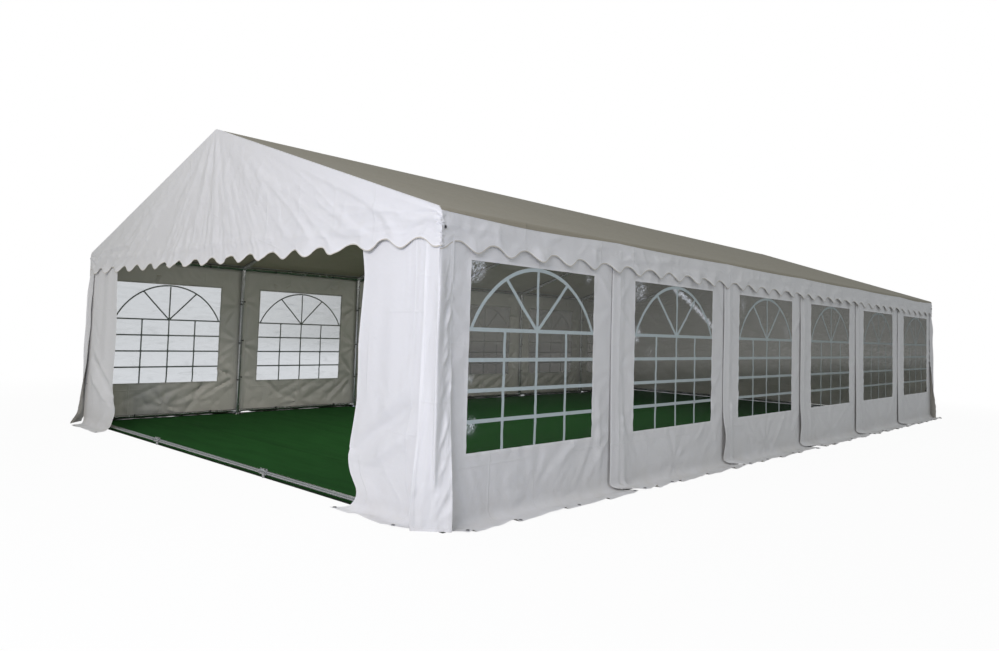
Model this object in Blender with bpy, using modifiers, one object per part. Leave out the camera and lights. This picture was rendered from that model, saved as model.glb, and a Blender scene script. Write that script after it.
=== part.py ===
"""Marquee tent: a 6 by 12 m gabled hall of galvanised tube with coated fabric sheets.

X runs across the hall, Y along it from the open front gable (-Y) to the back, Z is up.
The origin is the centre of the footprint, on the ground. Units are metres.
"""

import math

import bmesh
import bpy
from mathutils import Matrix, Vector

# Driving dimensions of the hall
HALL_WIDTH = 6.0
BAY_LENGTH = 2.0
BAYS = 6
EAVE_HEIGHT = 2.0
RIDGE_HEIGHT = 3.0

# Steel tube and fittings
TUBE_RADIUS = 0.025
SLEEVE_RADIUS = 0.029
CROSS_SLEEVE_RADIUS = 0.0285
SLEEVE_REACH = 0.16
PURLIN_SLEEVE_REACH = 0.08
END_SLEEVE_REACH = 0.031
TUBE_SIDES = 12
SMOOTH_ANGLE = math.radians(40)
FOOT_PLATE_THICKNESS = 0.006
FOOT_PLATE_INWARD = 0.10
FOOT_PLATE_HALF_LENGTH = 0.06
FOOT_PLATE_OUTER = 0.027

# Thinner tubes that join the feet a little above the ground
GROUND_BAR_RADIUS = 0.016
GROUND_BAR_HEIGHT = 0.045
GROUND_SLEEVE_RADIUS = 0.020
STUB_SLEEVE_RADIUS = 0.0195
BAR_END_GAP = 0.005
COUPLER_RADIUS = 0.0205
COUPLER_HALF_LENGTH = 0.06
COUPLER_PLACE = 1.0
COUPLER_LEG_RADIUS = 0.014
COUPLER_LEG_TOP = 0.072

# Fabric sheets
SHEET = 0.002
WALL_TOP = 1.93
VALANCE_DEPTH = 0.265
SCALLOP_PITCH = 1.0 / 3.0
SCALLOP_DEPTH = 0.065
SCALLOP_SHARPNESS = 1.6
SCALLOP_STEPS = 6
FLAP_TOP = 0.10
FLAP_REACH = 0.21
FLAP_TAPER = 0.03
FLAP_BEND = [(0.012, 0.05), (0.045, 0.016), (0.095, 0.0)]
CORNER_SETBACK = 0.04
CORNER_FLAP_SETBACK = 0.13
DOORWAY_WIDTH = 4.3
CORNER_STRIP_HALF_WIDTH = 0.13
CORNER_STRIP_TOP_REACH = 0.11
CORNER_STRIP_ROWS = [(WALL_TOP, 0.0), (1.70, 0.0), (0.9, 0.55), (0.001, 1.0)]

# Windows of the side walls
WINDOW_WIDTH = 1.40
WINDOW_BOTTOM = 0.445
WINDOW_TOP = 1.695
WINDOW_CUT_REACH = 0.05
FILM_OVERLAP = 0.06

# Laid floor
CARPET_THICKNESS = 0.006
CARPET_SETBACK = 0.08

# Touching pieces keep this clearance
CLEARANCE = 0.0003

HALF_WIDTH = HALL_WIDTH / 2
HALF_LENGTH = BAYS * BAY_LENGTH / 2
ROOF_SLOPE = (RIDGE_HEIGHT - EAVE_HEIGHT) / HALF_WIDTH
ROOF_COSINE = math.cos(math.atan(ROOF_SLOPE))
FRAME_INSET = 0.045
POST_X = HALF_WIDTH - FRAME_INSET
END_POST_Y = HALF_LENGTH - FRAME_INSET
RAFTER_DROP = (SHEET + CLEARANCE + SLEEVE_RADIUS) / ROOF_COSINE
RIDGE_TUBE_Z = RIDGE_HEIGHT - RAFTER_DROP
EAVE_TUBE_Z = RIDGE_HEIGHT - POST_X * ROOF_SLOPE - RAFTER_DROP
WALL_INNER_X = POST_X + SLEEVE_RADIUS + CLEARANCE
WALL_INNER_Y = END_POST_Y + SLEEVE_RADIUS + CLEARANCE


def clear_scene():
    for obj in list(bpy.data.objects):
        bpy.data.objects.remove(obj, do_unlink=True)


def new_collection(name):
    collection = bpy.data.collections.new(name)
    bpy.context.scene.collection.children.link(collection)
    return collection


def principled(name, color, roughness, metallic=0.0, alpha=1.0):
    material = bpy.data.materials.new(name)
    material.use_nodes = True
    shader = material.node_tree.nodes["Principled BSDF"]
    shader.inputs["Base Color"].default_value = (*color, 1.0)
    shader.inputs["Roughness"].default_value = roughness
    shader.inputs["Metallic"].default_value = metallic
    shader.inputs["Alpha"].default_value = alpha
    return material


def add_part(name, mesh, material):
    """Link a mesh as one named sub-part of the marquee."""
    part = bpy.data.objects.new(name, mesh)
    mesh.materials.clear()
    mesh.materials.append(material)
    marquee.objects.link(part)
    return part


def add_cutter(name, mesh):
    """Link a mesh that only cuts or joins other pieces."""
    cutter = bpy.data.objects.new(name, mesh)
    cutter.hide_render = True
    cutter.display_type = "WIRE"
    cutters.objects.link(cutter)
    return cutter


def finished_mesh(obj, name):
    """The object's mesh with its modifiers applied."""
    graph = bpy.context.evaluated_depsgraph_get()
    mesh = bpy.data.meshes.new_from_object(obj.evaluated_get(graph))
    mesh.name = name
    return mesh


def boolean(obj, operation, other, use_self=False):
    modifier = obj.modifiers.new(operation.lower(), "BOOLEAN")
    modifier.operation = operation
    modifier.solver = "EXACT"
    modifier.use_self = use_self
    modifier.object = other


def add_rod(shape, start, end, radius):
    """Add a capped cylinder between two points to a bmesh."""
    start = Vector(start)
    direction = Vector(end) - start
    turn = Vector((0, 0, 1)).rotation_difference(direction).to_matrix().to_4x4()
    middle = Matrix.Translation(start + direction / 2)
    bmesh.ops.create_cone(
        shape,
        cap_ends=True,
        segments=TUBE_SIDES,
        radius1=radius,
        radius2=radius,
        depth=direction.length,
        matrix=middle @ turn,
    )


def add_box(shape, low, high):
    """Add an upright box between two corners to a bmesh."""
    low = Vector(low)
    size = Vector(high) - low
    scale = Matrix.Diagonal((*size, 1.0))
    bmesh.ops.create_cube(shape, size=1.0, matrix=Matrix.Translation(low + size / 2) @ scale)


def mesh_of(shape, name):
    mesh = bpy.data.meshes.new(name)
    shape.to_mesh(mesh)
    shape.free()
    return mesh


def weld(mesh, distance=1e-5):
    """Merge the doubled points that a cut or a filled outline leaves."""
    shape = bmesh.new()
    shape.from_mesh(mesh)
    bmesh.ops.remove_doubles(shape, verts=shape.verts, dist=distance)
    bmesh.ops.dissolve_degenerate(shape, edges=shape.edges, dist=distance)
    shape.to_mesh(mesh)
    shape.free()


def smooth_tubes(mesh):
    mesh.shade_smooth()
    mesh.set_sharp_from_angle(angle=SMOOTH_ANGLE)


def flat_sheet(name, outline, thickness, place):
    """A flat outline in its own XY plane, extruded to a thickness and put in place."""
    curve = bpy.data.curves.new(name, "CURVE")
    curve.dimensions = "2D"
    curve.fill_mode = "BOTH"
    curve.extrude = thickness / 2
    spline = curve.splines.new("POLY")
    spline.points.add(len(outline) - 1)
    for point, (across, up) in zip(spline.points, outline):
        point.co = (across, up, 0, 1)
    spline.use_cyclic_u = True
    guide = add_cutter(name + "_outline", curve)
    mesh = finished_mesh(guide, name)
    bpy.data.objects.remove(guide, do_unlink=True)
    weld(mesh)
    mesh.transform(place)
    return mesh


def upright_plane(middle, across, outward):
    """A frame whose X runs along a wall, Y runs up and Z points out of the hall."""
    turn = Matrix((across, (0, 0, 1), outward)).transposed().to_4x4()
    return Matrix.Translation(middle) @ turn


def portal_shape(is_end):
    """Two legs and two rafters with the sleeves of their fittings, in the XZ plane."""
    shape = bmesh.new()
    ridge = (0, 0, RIDGE_TUBE_Z)
    back_reach = END_SLEEVE_REACH if is_end else PURLIN_SLEEVE_REACH
    share = SLEEVE_REACH / math.dist((0, RIDGE_TUBE_Z), (POST_X, EAVE_TUBE_Z))
    for side in (-1, 1):
        x = side * POST_X
        eave = (x, 0, EAVE_TUBE_Z)
        near_eave = Vector(eave).lerp(Vector(ridge), share)
        near_ridge = Vector(ridge).lerp(Vector(eave), share)
        foot_top = FOOT_PLATE_THICKNESS / 2
        add_rod(shape, (x, 0, foot_top), eave, TUBE_RADIUS)
        add_rod(shape, eave, ridge, TUBE_RADIUS)
        add_rod(shape, (x, 0, EAVE_TUBE_Z - SLEEVE_REACH), eave, SLEEVE_RADIUS)
        add_rod(shape, eave, near_eave, SLEEVE_RADIUS)
        add_rod(shape, near_ridge, ridge, SLEEVE_RADIUS)
        add_rod(shape, (x, 0, foot_top), (x, 0, SLEEVE_REACH), SLEEVE_RADIUS)
        crossings = ((EAVE_TUBE_Z, CROSS_SLEEVE_RADIUS), (GROUND_BAR_HEIGHT, GROUND_SLEEVE_RADIUS))
        for height, radius in crossings:
            start = (x, -back_reach, height)
            add_rod(shape, start, (x, PURLIN_SLEEVE_REACH, height), radius)
        if is_end:
            inner = (x - side * SLEEVE_REACH, 0, GROUND_BAR_HEIGHT)
            add_rod(shape, inner, (x, 0, GROUND_BAR_HEIGHT), STUB_SLEEVE_RADIUS)
        low, high = foot_plate_box(side, is_end)
        add_box(shape, low, high)
    start = (0, -back_reach, RIDGE_TUBE_Z)
    add_rod(shape, start, (0, PURLIN_SLEEVE_REACH, RIDGE_TUBE_Z), CROSS_SLEEVE_RADIUS)
    return shape


def foot_plate_box(side, is_end, clearance=0.0):
    """The plate under a leg lies inside the line of the wall sheets."""
    inner = side * (POST_X - FOOT_PLATE_INWARD - clearance)
    outer = side * (POST_X + FOOT_PLATE_OUTER + clearance)
    length = FOOT_PLATE_HALF_LENGTH
    back = -FOOT_PLATE_OUTER if is_end else -length
    low = (min(inner, outer), back - clearance, 0)
    high = (max(inner, outer), length + clearance, FOOT_PLATE_THICKNESS)
    return low, high


def portal_bores(is_end):
    """The ways through the fittings for the purlins and the ground bars."""
    shape = bmesh.new()
    purlin_bore = TUBE_RADIUS + CLEARANCE
    bar_bore = GROUND_BAR_RADIUS + CLEARANCE
    reach = 2 * PURLIN_SLEEVE_REACH
    for side in (-1, 1):
        x = side * POST_X
        for height, radius in ((EAVE_TUBE_Z, purlin_bore), (GROUND_BAR_HEIGHT, bar_bore)):
            add_rod(shape, (x, -reach, height), (x, reach, height), radius)
        if is_end:
            end = side * front_bar_end()
            inner = x - side * 2 * SLEEVE_REACH
            shift = side * CLEARANCE
            start = (inner, 0, GROUND_BAR_HEIGHT)
            add_rod(shape, start, (end + shift, 0, GROUND_BAR_HEIGHT), bar_bore)
    add_rod(shape, (0, -reach, RIDGE_TUBE_Z), (0, reach, RIDGE_TUBE_Z), purlin_bore)
    return shape


def front_bar_end():
    return POST_X - GROUND_BAR_RADIUS - BAR_END_GAP


def portal_mesh(is_end):
    """Fuse the tubes and sleeves of one portal and cut its bores.

    The fusing starts from a small core inside the ridge fitting.
    """
    kind = "end_portal" if is_end else "inner_portal"
    joined = add_cutter(kind, mesh_of(portal_shape(is_end), kind))
    bores = add_cutter(kind + "_bores", mesh_of(portal_bores(is_end), kind + "_bores"))
    core_shape = bmesh.new()
    low_end = (0, 0, RIDGE_TUBE_Z - TUBE_RADIUS)
    add_rod(core_shape, low_end, (0, 0, RIDGE_TUBE_Z), TUBE_RADIUS / 2)
    core = add_cutter(kind + "_core", mesh_of(core_shape, kind + "_core"))
    boolean(core, "UNION", joined, use_self=True)
    boolean(core, "DIFFERENCE", bores)
    mesh = finished_mesh(core, kind)
    for used in (core, joined, bores):
        bpy.data.objects.remove(used, do_unlink=True)
    weld(mesh)
    smooth_tubes(mesh)
    return mesh


def add_portal_frames(steel):
    """One portal of legs and rafters stands at each end of every bay."""
    inner_mesh = portal_mesh(is_end=False)
    end_mesh = portal_mesh(is_end=True)
    for number in range(BAYS + 1):
        is_end = number in (0, BAYS)
        name = f"portal_frame_{number + 1}"
        portal = add_part(name, end_mesh if is_end else inner_mesh, steel)
        portal.location.y = portal_y(number)
        if number == BAYS:
            portal.rotation_euler.z = math.pi


def portal_y(number):
    y = -HALF_LENGTH + number * BAY_LENGTH
    return max(-END_POST_Y, min(END_POST_Y, y))


def add_long_bars(steel):
    """The purlins and side ground bars run the whole hall through the fittings."""
    reach = END_POST_Y + END_SLEEVE_REACH
    bars = {
        "ridge_purlin": (0, RIDGE_TUBE_Z, TUBE_RADIUS),
        "left_eave_purlin": (-POST_X, EAVE_TUBE_Z, TUBE_RADIUS),
        "right_eave_purlin": (POST_X, EAVE_TUBE_Z, TUBE_RADIUS),
        "left_ground_bar": (-POST_X, GROUND_BAR_HEIGHT, GROUND_BAR_RADIUS),
        "right_ground_bar": (POST_X, GROUND_BAR_HEIGHT, GROUND_BAR_RADIUS),
    }
    for name, (x, height, radius) in bars.items():
        shape = bmesh.new()
        add_rod(shape, (x, -reach, height), (x, reach, height), radius)
        mesh = mesh_of(shape, name)
        smooth_tubes(mesh)
        add_part(name, mesh, steel)


def add_cross_bars(steel):
    """The bars across the gables are three tubes, with two couplers that stand on the ground."""
    end = front_bar_end()
    height = GROUND_BAR_HEIGHT
    for name, y in (("front_ground_bar", -END_POST_Y), ("back_ground_bar", END_POST_Y)):
        shape = bmesh.new()
        add_rod(shape, (-end, y, height), (end, y, height), GROUND_BAR_RADIUS)
        bar = add_part(name, mesh_of(shape, name), steel)
        for side in (-1, 1):
            x = side * COUPLER_PLACE
            sleeve = bmesh.new()
            inner = (x - COUPLER_HALF_LENGTH, y, height)
            add_rod(sleeve, inner, (x + COUPLER_HALF_LENGTH, y, height), COUPLER_RADIUS)
            leg = bmesh.new()
            add_rod(leg, (x, y, 0), (x, y, COUPLER_LEG_TOP), COUPLER_LEG_RADIUS)
            label = f"{name}_coupler_{'right' if side > 0 else 'left'}"
            boolean(bar, "UNION", add_cutter(label, mesh_of(sleeve, label)))
            boolean(bar, "UNION", add_cutter(label + "_leg", mesh_of(leg, label + "_leg")))
        bar.data.shade_smooth()


def roof_underside(x):
    return RIDGE_HEIGHT - abs(x) * ROOF_SLOPE - SHEET / ROOF_COSINE


def add_roof(fabric):
    """Each roof half lies on the rafter sleeves, from the ridge to its eave."""
    for name, side in (("roof_left", -1), ("roof_right", 1)):
        ridge = side * CLEARANCE / 2
        eave = side * HALF_WIDTH
        outline = [
            (ridge, RIDGE_HEIGHT - abs(ridge) * ROOF_SLOPE),
            (eave, EAVE_HEIGHT),
            (eave, roof_underside(eave)),
            (ridge, roof_underside(ridge)),
        ]
        place = upright_plane((0, 0, 0), (1, 0, 0), (0, -1, 0))
        add_part(name, flat_sheet(name, outline, 2 * HALF_LENGTH, place), fabric)


def scallops(half_run):
    """The wavy lower edge from one corner to the other, with a lobe tip at each corner."""
    lobes = round(2 * half_run / SCALLOP_PITCH)
    steps = lobes * SCALLOP_STEPS
    tip = EAVE_HEIGHT - VALANCE_DEPTH
    edge = []
    for step in range(steps + 1):
        phase = 2 * math.pi * step / SCALLOP_STEPS
        lobe = (0.5 + 0.5 * math.cos(phase)) ** SCALLOP_SHARPNESS
        along = -half_run + 2 * half_run * step / steps
        edge.append((along, tip + SCALLOP_DEPTH * (1 - lobe)))
    return edge


def add_valances(fabric):
    """The scalloped edge of the roof hangs in front of the side walls."""
    top = roof_underside(HALF_WIDTH) - CLEARANCE
    for name, side in (("left_valance", -1), ("right_valance", 1)):
        outline = scallops(HALF_LENGTH) + [(HALF_LENGTH, top), (-HALF_LENGTH, top)]
        middle = (side * (HALF_WIDTH - SHEET / 2), 0, 0)
        place = upright_plane(middle, (0, 1, 0), (1, 0, 0))
        add_part(name, flat_sheet(name, outline, SHEET, place), fabric)


def add_gables(fabric):
    """The gable cloths fill the roof's ends and run down into the same scallops."""
    half_run = HALF_WIDTH - SHEET - CLEARANCE
    shoulder = roof_underside(half_run) - CLEARANCE
    peak = roof_underside(0) - CLEARANCE
    for name, side in (("front_gable", -1), ("back_gable", 1)):
        outline = scallops(half_run) + [(half_run, shoulder), (0, peak), (-half_run, shoulder)]
        middle = (0, side * (HALF_LENGTH - SHEET / 2), 0)
        place = upright_plane(middle, (1, 0, 0), (0, -1, 0))
        add_part(name, flat_sheet(name, outline, SHEET, place), fabric)


def wall_profile():
    """Reach and height of a hanging wall's inner face, down to the ground and out on it."""
    return [(0.0, WALL_TOP), (0.0, FLAP_TOP), *FLAP_BEND, (FLAP_REACH, 0.0)]


def hanging_wall(name, start, end, start_setback, end_setback):
    """A sheet with a ground flap, running along X from start to end and facing -Y.

    A setback draws the flap in beside a corner, where the corner strip hangs.
    """
    shape = bmesh.new()
    rows = []
    for reach, height in wall_profile():
        is_flap = height < FLAP_TOP
        taper = FLAP_TAPER if reach == FLAP_REACH else 0.0
        left = start + (start_setback if is_flap else 0.0) + taper
        right = end - (end_setback if is_flap else 0.0) - taper
        left_point = shape.verts.new((left, -reach, height))
        right_point = shape.verts.new((right, -reach, height))
        rows.append(shape.edges.new((left_point, right_point)))
    for upper, lower in zip(rows, rows[1:]):
        bmesh.ops.bridge_loops(shape, edges=[upper, lower])
    bmesh.ops.recalc_face_normals(shape, faces=shape.faces)
    turn_faces_outward(shape)
    return mesh_of(shape, name)


def turn_faces_outward(shape):
    """Point the open sheet's faces to the outside of the hall, which is -Y here."""
    shape.normal_update()
    total = sum(face.normal.y * face.calc_area() for face in shape.faces)
    if total > 0:
        bmesh.ops.reverse_faces(shape, faces=shape.faces)


def thicken(obj):
    modifier = obj.modifiers.new("sheet", "SOLIDIFY")
    modifier.thickness = SHEET
    modifier.offset = 1.0
    modifier.use_even_offset = True


def place_wall(wall, side, is_side_wall):
    """Turn a wall built to face -Y to the side that it closes."""
    if is_side_wall:
        wall.location = (side * WALL_INNER_X, 0, 0)
        wall.rotation_euler.z = side * math.pi / 2
    else:
        wall.location = (0, side * WALL_INNER_Y, 0)
        wall.rotation_euler.z = math.pi if side > 0 else 0.0


def window_cutter(name, middle):
    shape = bmesh.new()
    low = (middle - WINDOW_WIDTH / 2, -WINDOW_CUT_REACH, WINDOW_BOTTOM)
    high = (middle + WINDOW_WIDTH / 2, WINDOW_CUT_REACH, WINDOW_TOP)
    add_box(shape, low, high)
    return add_cutter(name + "_window", mesh_of(shape, name + "_window"))


def add_side_walls(fabric):
    """Six panels a side, each with its window; the end panels stop at the corner strips."""
    for label, side in (("left", -1), ("right", 1)):
        for number in range(BAYS):
            name = f"{label}_wall_{number + 1}"
            front = -HALF_LENGTH + number * BAY_LENGTH + CLEARANCE
            back = -HALF_LENGTH + (number + 1) * BAY_LENGTH - CLEARANCE
            is_first = number == 0
            is_last = number == BAYS - 1
            front += CORNER_SETBACK if is_first else 0.0
            back -= CORNER_SETBACK if is_last else 0.0
            flap_first = CORNER_FLAP_SETBACK - CORNER_SETBACK if is_first else 0.0
            flap_last = CORNER_FLAP_SETBACK - CORNER_SETBACK if is_last else 0.0
            middle = side * (-HALF_LENGTH + (number + 0.5) * BAY_LENGTH)
            if side > 0:
                mesh = hanging_wall(name, front, back, flap_first, flap_last)
            else:
                mesh = hanging_wall(name, -back, -front, flap_last, flap_first)
            wall = add_part(name, mesh, fabric)
            thicken(wall)
            cutter = window_cutter(name, middle)
            place_wall(wall, side, True)
            place_wall(cutter, side, True)
            boolean(wall, "DIFFERENCE", cutter)


def add_front_curtains(fabric):
    """The front is open between two narrow curtains beside the corner posts."""
    outer = HALF_WIDTH - CORNER_SETBACK
    inner = DOORWAY_WIDTH / 2
    setback = CORNER_FLAP_SETBACK - CORNER_SETBACK
    left = hanging_wall("front_left_curtain", -outer, -inner, setback, 0.0)
    right = hanging_wall("front_right_curtain", inner, outer, 0.0, setback)
    for mesh in (left, right):
        curtain = add_part(mesh.name, mesh, fabric)
        thicken(curtain)
        place_wall(curtain, -1, False)


def add_back_walls(fabric):
    """Two halves close the back and meet at a zip in the middle."""
    outer = HALF_WIDTH - CORNER_SETBACK
    setback = CORNER_FLAP_SETBACK - CORNER_SETBACK
    left = hanging_wall("back_wall_left", CLEARANCE, outer, 0.0, setback)
    right = hanging_wall("back_wall_right", -outer, -CLEARANCE, setback, 0.0)
    for mesh in (left, right):
        wall = add_part(mesh.name, mesh, fabric)
        thicken(wall)
        place_wall(wall, 1, False)


def corner_strip_mesh(name):
    """A strip that wraps the corner under the valance and hangs slantwise to the ground.

    It is built for the corner at +X and -Y, with its columns from the front to the side.
    """
    hug = HALF_WIDTH - 2 * SHEET - CLEARANCE
    slant = POST_X + (SLEEVE_RADIUS + END_SLEEVE_REACH) / 2 + 2 * SHEET
    swing = CORNER_STRIP_HALF_WIDTH / math.sqrt(2)
    far = HALF_WIDTH - CORNER_STRIP_TOP_REACH
    rise = HALF_LENGTH - HALF_WIDTH
    top = [(far, -hug), (hug, -hug), (hug, -far)]
    bottom = [(slant - swing, -slant - swing), (slant, -slant), (slant + swing, -slant + swing)]
    shape = bmesh.new()
    rows = []
    for height, share in CORNER_STRIP_ROWS:
        row = []
        for (top_x, top_y), (low_x, low_y) in zip(top, bottom):
            x = top_x + (low_x - top_x) * share
            y = top_y + (low_y - top_y) * share
            row.append(shape.verts.new((x, y - rise, height)))
        rows.append([shape.edges.new(pair) for pair in zip(row, row[1:])])
    for upper, lower in zip(rows, rows[1:]):
        bmesh.ops.bridge_loops(shape, edges=upper + lower)
    bmesh.ops.recalc_face_normals(shape, faces=shape.faces)
    turn_faces_outward(shape)
    return mesh_of(shape, name)


def add_corner_strips(fabric):
    """A loose strip of cloth covers each corner post."""
    for end, turn_back in (("front", False), ("back", True)):
        for label, side in (("left", -1), ("right", 1)):
            name = f"{end}_{label}_corner_strip"
            mesh = corner_strip_mesh(name)
            must_mirror = (side < 0) != turn_back
            flip = Matrix.Scale(-1 if must_mirror else 1, 4, (1, 0, 0))
            mesh.transform(flip)
            if must_mirror:
                mesh.flip_normals()
            strip = add_part(name, mesh, fabric)
            thicken(strip)
            strip.rotation_euler.z = math.pi if turn_back else 0.0


def add_window_films(film):
    """One clear sheet along each side wall closes its six windows."""
    inner = POST_X + TUBE_RADIUS + CLEARANCE
    outer = WALL_INNER_X - CLEARANCE
    reach = HALF_LENGTH - (BAY_LENGTH - WINDOW_WIDTH) / 2 + FILM_OVERLAP
    for name, side in (("left_window_film", -1), ("right_window_film", 1)):
        shape = bmesh.new()
        low_x, high_x = sorted((side * inner, side * outer))
        low = (low_x, -reach, WINDOW_BOTTOM - FILM_OVERLAP)
        high = (high_x, reach, WINDOW_TOP + FILM_OVERLAP)
        add_box(shape, low, high)
        add_part(name, mesh_of(shape, name), film)


def add_carpet(pile):
    """The laid floor fills the ground frame and is notched round the foot plates."""
    reach_x = HALF_WIDTH - CARPET_SETBACK
    reach_y = HALF_LENGTH - CARPET_SETBACK
    shape = bmesh.new()
    add_box(shape, (-reach_x, -reach_y, 0), (reach_x, reach_y, CARPET_THICKNESS))
    carpet = add_part("floor_carpet", mesh_of(shape, "floor_carpet"), pile)
    notches = bmesh.new()
    for number in range(BAYS + 1):
        is_end = number in (0, BAYS)
        for side in (-1, 1):
            low, high = foot_plate_box(side, is_end, CLEARANCE)
            low_y, high_y = low[1], high[1]
            if number == BAYS:
                low_y, high_y = -high_y, -low_y
            y = portal_y(number)
            start = (low[0], y + low_y, -CARPET_THICKNESS)
            add_box(notches, start, (high[0], y + high_y, 2 * CARPET_THICKNESS))
    boolean(carpet, "DIFFERENCE", add_cutter("foot_notches", mesh_of(notches, "foot_notches")))


clear_scene()
marquee = new_collection("marquee_tent")
cutters = new_collection("cutters")

galvanised = principled("galvanised_steel", (0.56, 0.57, 0.58), 0.38, metallic=0.9)
wall_cloth = principled("wall_cloth", (0.80, 0.80, 0.82), 0.55)
roof_cloth = principled("roof_cloth", (0.50, 0.49, 0.44), 0.55)
clear_film = principled("clear_film", (0.86, 0.89, 0.90), 0.12, alpha=0.3)
green_pile = principled("green_pile", (0.02, 0.16, 0.04), 0.95)

add_portal_frames(galvanised)
add_long_bars(galvanised)
add_cross_bars(galvanised)
add_roof(roof_cloth)
add_valances(wall_cloth)
add_gables(wall_cloth)
add_side_walls(wall_cloth)
add_window_films(clear_film)
add_front_curtains(wall_cloth)
add_back_walls(wall_cloth)
add_corner_strips(wall_cloth)
add_carpet(green_pile)
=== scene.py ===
# %% [markdown]
# # A party marquee, dressed over its steel frame
#
# A marquee like this one is a row of galvanised portal frames with coated cloth hung on them. The packed
# frame brings every tube and a plain solid for each cloth. This script keeps the tubes, gives them zinc,
# and replaces each plain cloth with a sheet that sags, creases and has hems.
# Everything is in metres: X across the hall, Y from the open front to the back, Z up.

import math

import bpy
import numpy as np
from mathutils import Matrix, Vector


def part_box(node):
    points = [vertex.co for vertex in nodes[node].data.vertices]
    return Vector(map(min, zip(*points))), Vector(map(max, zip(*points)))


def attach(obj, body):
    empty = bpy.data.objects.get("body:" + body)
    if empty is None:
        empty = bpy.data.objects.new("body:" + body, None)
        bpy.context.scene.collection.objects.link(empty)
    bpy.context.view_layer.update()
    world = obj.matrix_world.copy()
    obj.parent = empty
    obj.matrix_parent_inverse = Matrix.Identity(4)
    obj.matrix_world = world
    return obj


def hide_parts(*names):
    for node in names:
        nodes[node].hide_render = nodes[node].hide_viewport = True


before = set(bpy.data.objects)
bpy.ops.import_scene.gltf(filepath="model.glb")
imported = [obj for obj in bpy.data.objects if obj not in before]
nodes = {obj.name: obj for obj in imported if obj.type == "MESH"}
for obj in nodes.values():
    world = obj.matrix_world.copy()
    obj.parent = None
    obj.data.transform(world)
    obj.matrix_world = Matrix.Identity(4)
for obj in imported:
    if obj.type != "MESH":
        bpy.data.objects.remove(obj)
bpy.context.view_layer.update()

# %% [markdown]
# ## The camera
#
# The photo was taken from beside the front right corner at chest height. The numbers come from matching
# window corners, seams and posts, so the lens centre is a little off the middle of the picture. A camera
# could be turned by hand until it looks right, but its axes are written here as a matrix, because a small
# roll is easier to state than to guess.

# %% Camera
PHOTO_WIDTH = 999
PHOTO_HEIGHT = 651
SENSOR_WIDTH = 36
LENS_PIXELS = 745.8
LENS_CENTRE = (446.1, 289.9)
CAMERA_PLACE = Vector((6.3209, -9.2066, 1.2355))
CAMERA_HEADING = 0.7930
CAMERA_PITCH = 0.0534
CAMERA_ROLL = 0.0332

camera_data = bpy.data.cameras.new("photo_camera")
camera_data.sensor_width = SENSOR_WIDTH
camera_data.lens = LENS_PIXELS * SENSOR_WIDTH / PHOTO_WIDTH
camera_data.shift_x = (PHOTO_WIDTH / 2 - LENS_CENTRE[0]) / PHOTO_WIDTH
camera_data.shift_y = (LENS_CENTRE[1] - PHOTO_HEIGHT / 2) / PHOTO_WIDTH
camera_data.clip_end = 400
camera = bpy.data.objects.new("photo_camera", camera_data)
bpy.context.scene.collection.objects.link(camera)
ahead = Vector((
    -math.sin(CAMERA_HEADING) * math.cos(CAMERA_PITCH),
    math.cos(CAMERA_HEADING) * math.cos(CAMERA_PITCH),
    math.sin(CAMERA_PITCH),
))
level = Vector((math.cos(CAMERA_HEADING), math.sin(CAMERA_HEADING), 0))
upright = level.cross(ahead)
right = level * math.cos(CAMERA_ROLL) + upright * math.sin(CAMERA_ROLL)
up = upright * math.cos(CAMERA_ROLL) - level * math.sin(CAMERA_ROLL)
axes = Matrix((right, up, -ahead)).transposed().to_4x4()
camera.matrix_world = Matrix.Translation(CAMERA_PLACE) @ axes
bpy.context.scene.camera = camera
bpy.context.scene.view_settings.view_transform = "Standard"
print("lens", round(camera_data.lens, 2), "mm")

# %% [markdown]
# ## Numbers that the cloth and the frame share
#
# The cloth lies against the frame, so the sizes below repeat the ones the solids were made from.

# %% Shared sizes
HALF_WIDTH = 3.0
HALF_LENGTH = 6.0
BAY = 2.0
BAYS = 6
EAVE = 2.0
RIDGE = 3.0
SLOPE = (RIDGE - EAVE) / HALF_WIDTH
POST_X = 2.955
END_POST_Y = 5.955
WALL_TOP = 1.93
WALL_FACE = 2.9862
END_WALL_FACE = 5.9862
FLAP_REACH = 0.21
VALANCE_DROP = 0.265
VALANCE_TIP = EAVE - VALANCE_DROP
SCALLOP_PITCH = 1 / 3
SCALLOP_DEPTH = 0.065
CLOTH = 0.001
FILM = 0.0005
LOWEST = CLOTH + 0.0002
LYING = CLOTH + 0.0004
WINDOW_HALF = 0.70
WINDOW_LOW = 0.445
WINDOW_HIGH = 1.695
PACKED_ACROSS = 0.47
PACKED_DOWN = 0.785
SIDES = (("left", -1), ("right", 1))
ENDS = (("front", -1), ("back", 1))

wall_low, wall_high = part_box("right_wall_2")
bar_low, bar_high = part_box("front_ground_bar")
print("wall solid from x", round(wall_low.x, 4), "to", round(wall_high.x, 4))
print("ground bar from z", round(bar_low.z, 4), "to", round(bar_high.z, 4))

# %% [markdown]
# ## Small node helpers
#
# Node trees for surfaces and for repeated parts are built by the same helpers: one places a node and
# fills or links its sockets, another starts a group with named sockets, and the short ones below them
# place the few kinds of node that come back in every finish.

# %% Node helpers
SOCKET_KINDS = {
    "vector": "NodeSocketVector",
    "value": "NodeSocketFloat",
    "color": "NodeSocketColor",
    "geometry": "NodeSocketGeometry",
    "material": "NodeSocketMaterial",
    "whole": "NodeSocketInt",
}


def place_node(tree, kind, inputs=None, **settings):
    node = tree.nodes.new(kind)
    for name, value in settings.items():
        setattr(node, name, value)
    for key, value in (inputs or {}).items():
        socket = node.inputs[key]
        if isinstance(value, bpy.types.NodeSocket):
            tree.links.new(value, socket)
        else:
            socket.default_value = value
    return node


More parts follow.
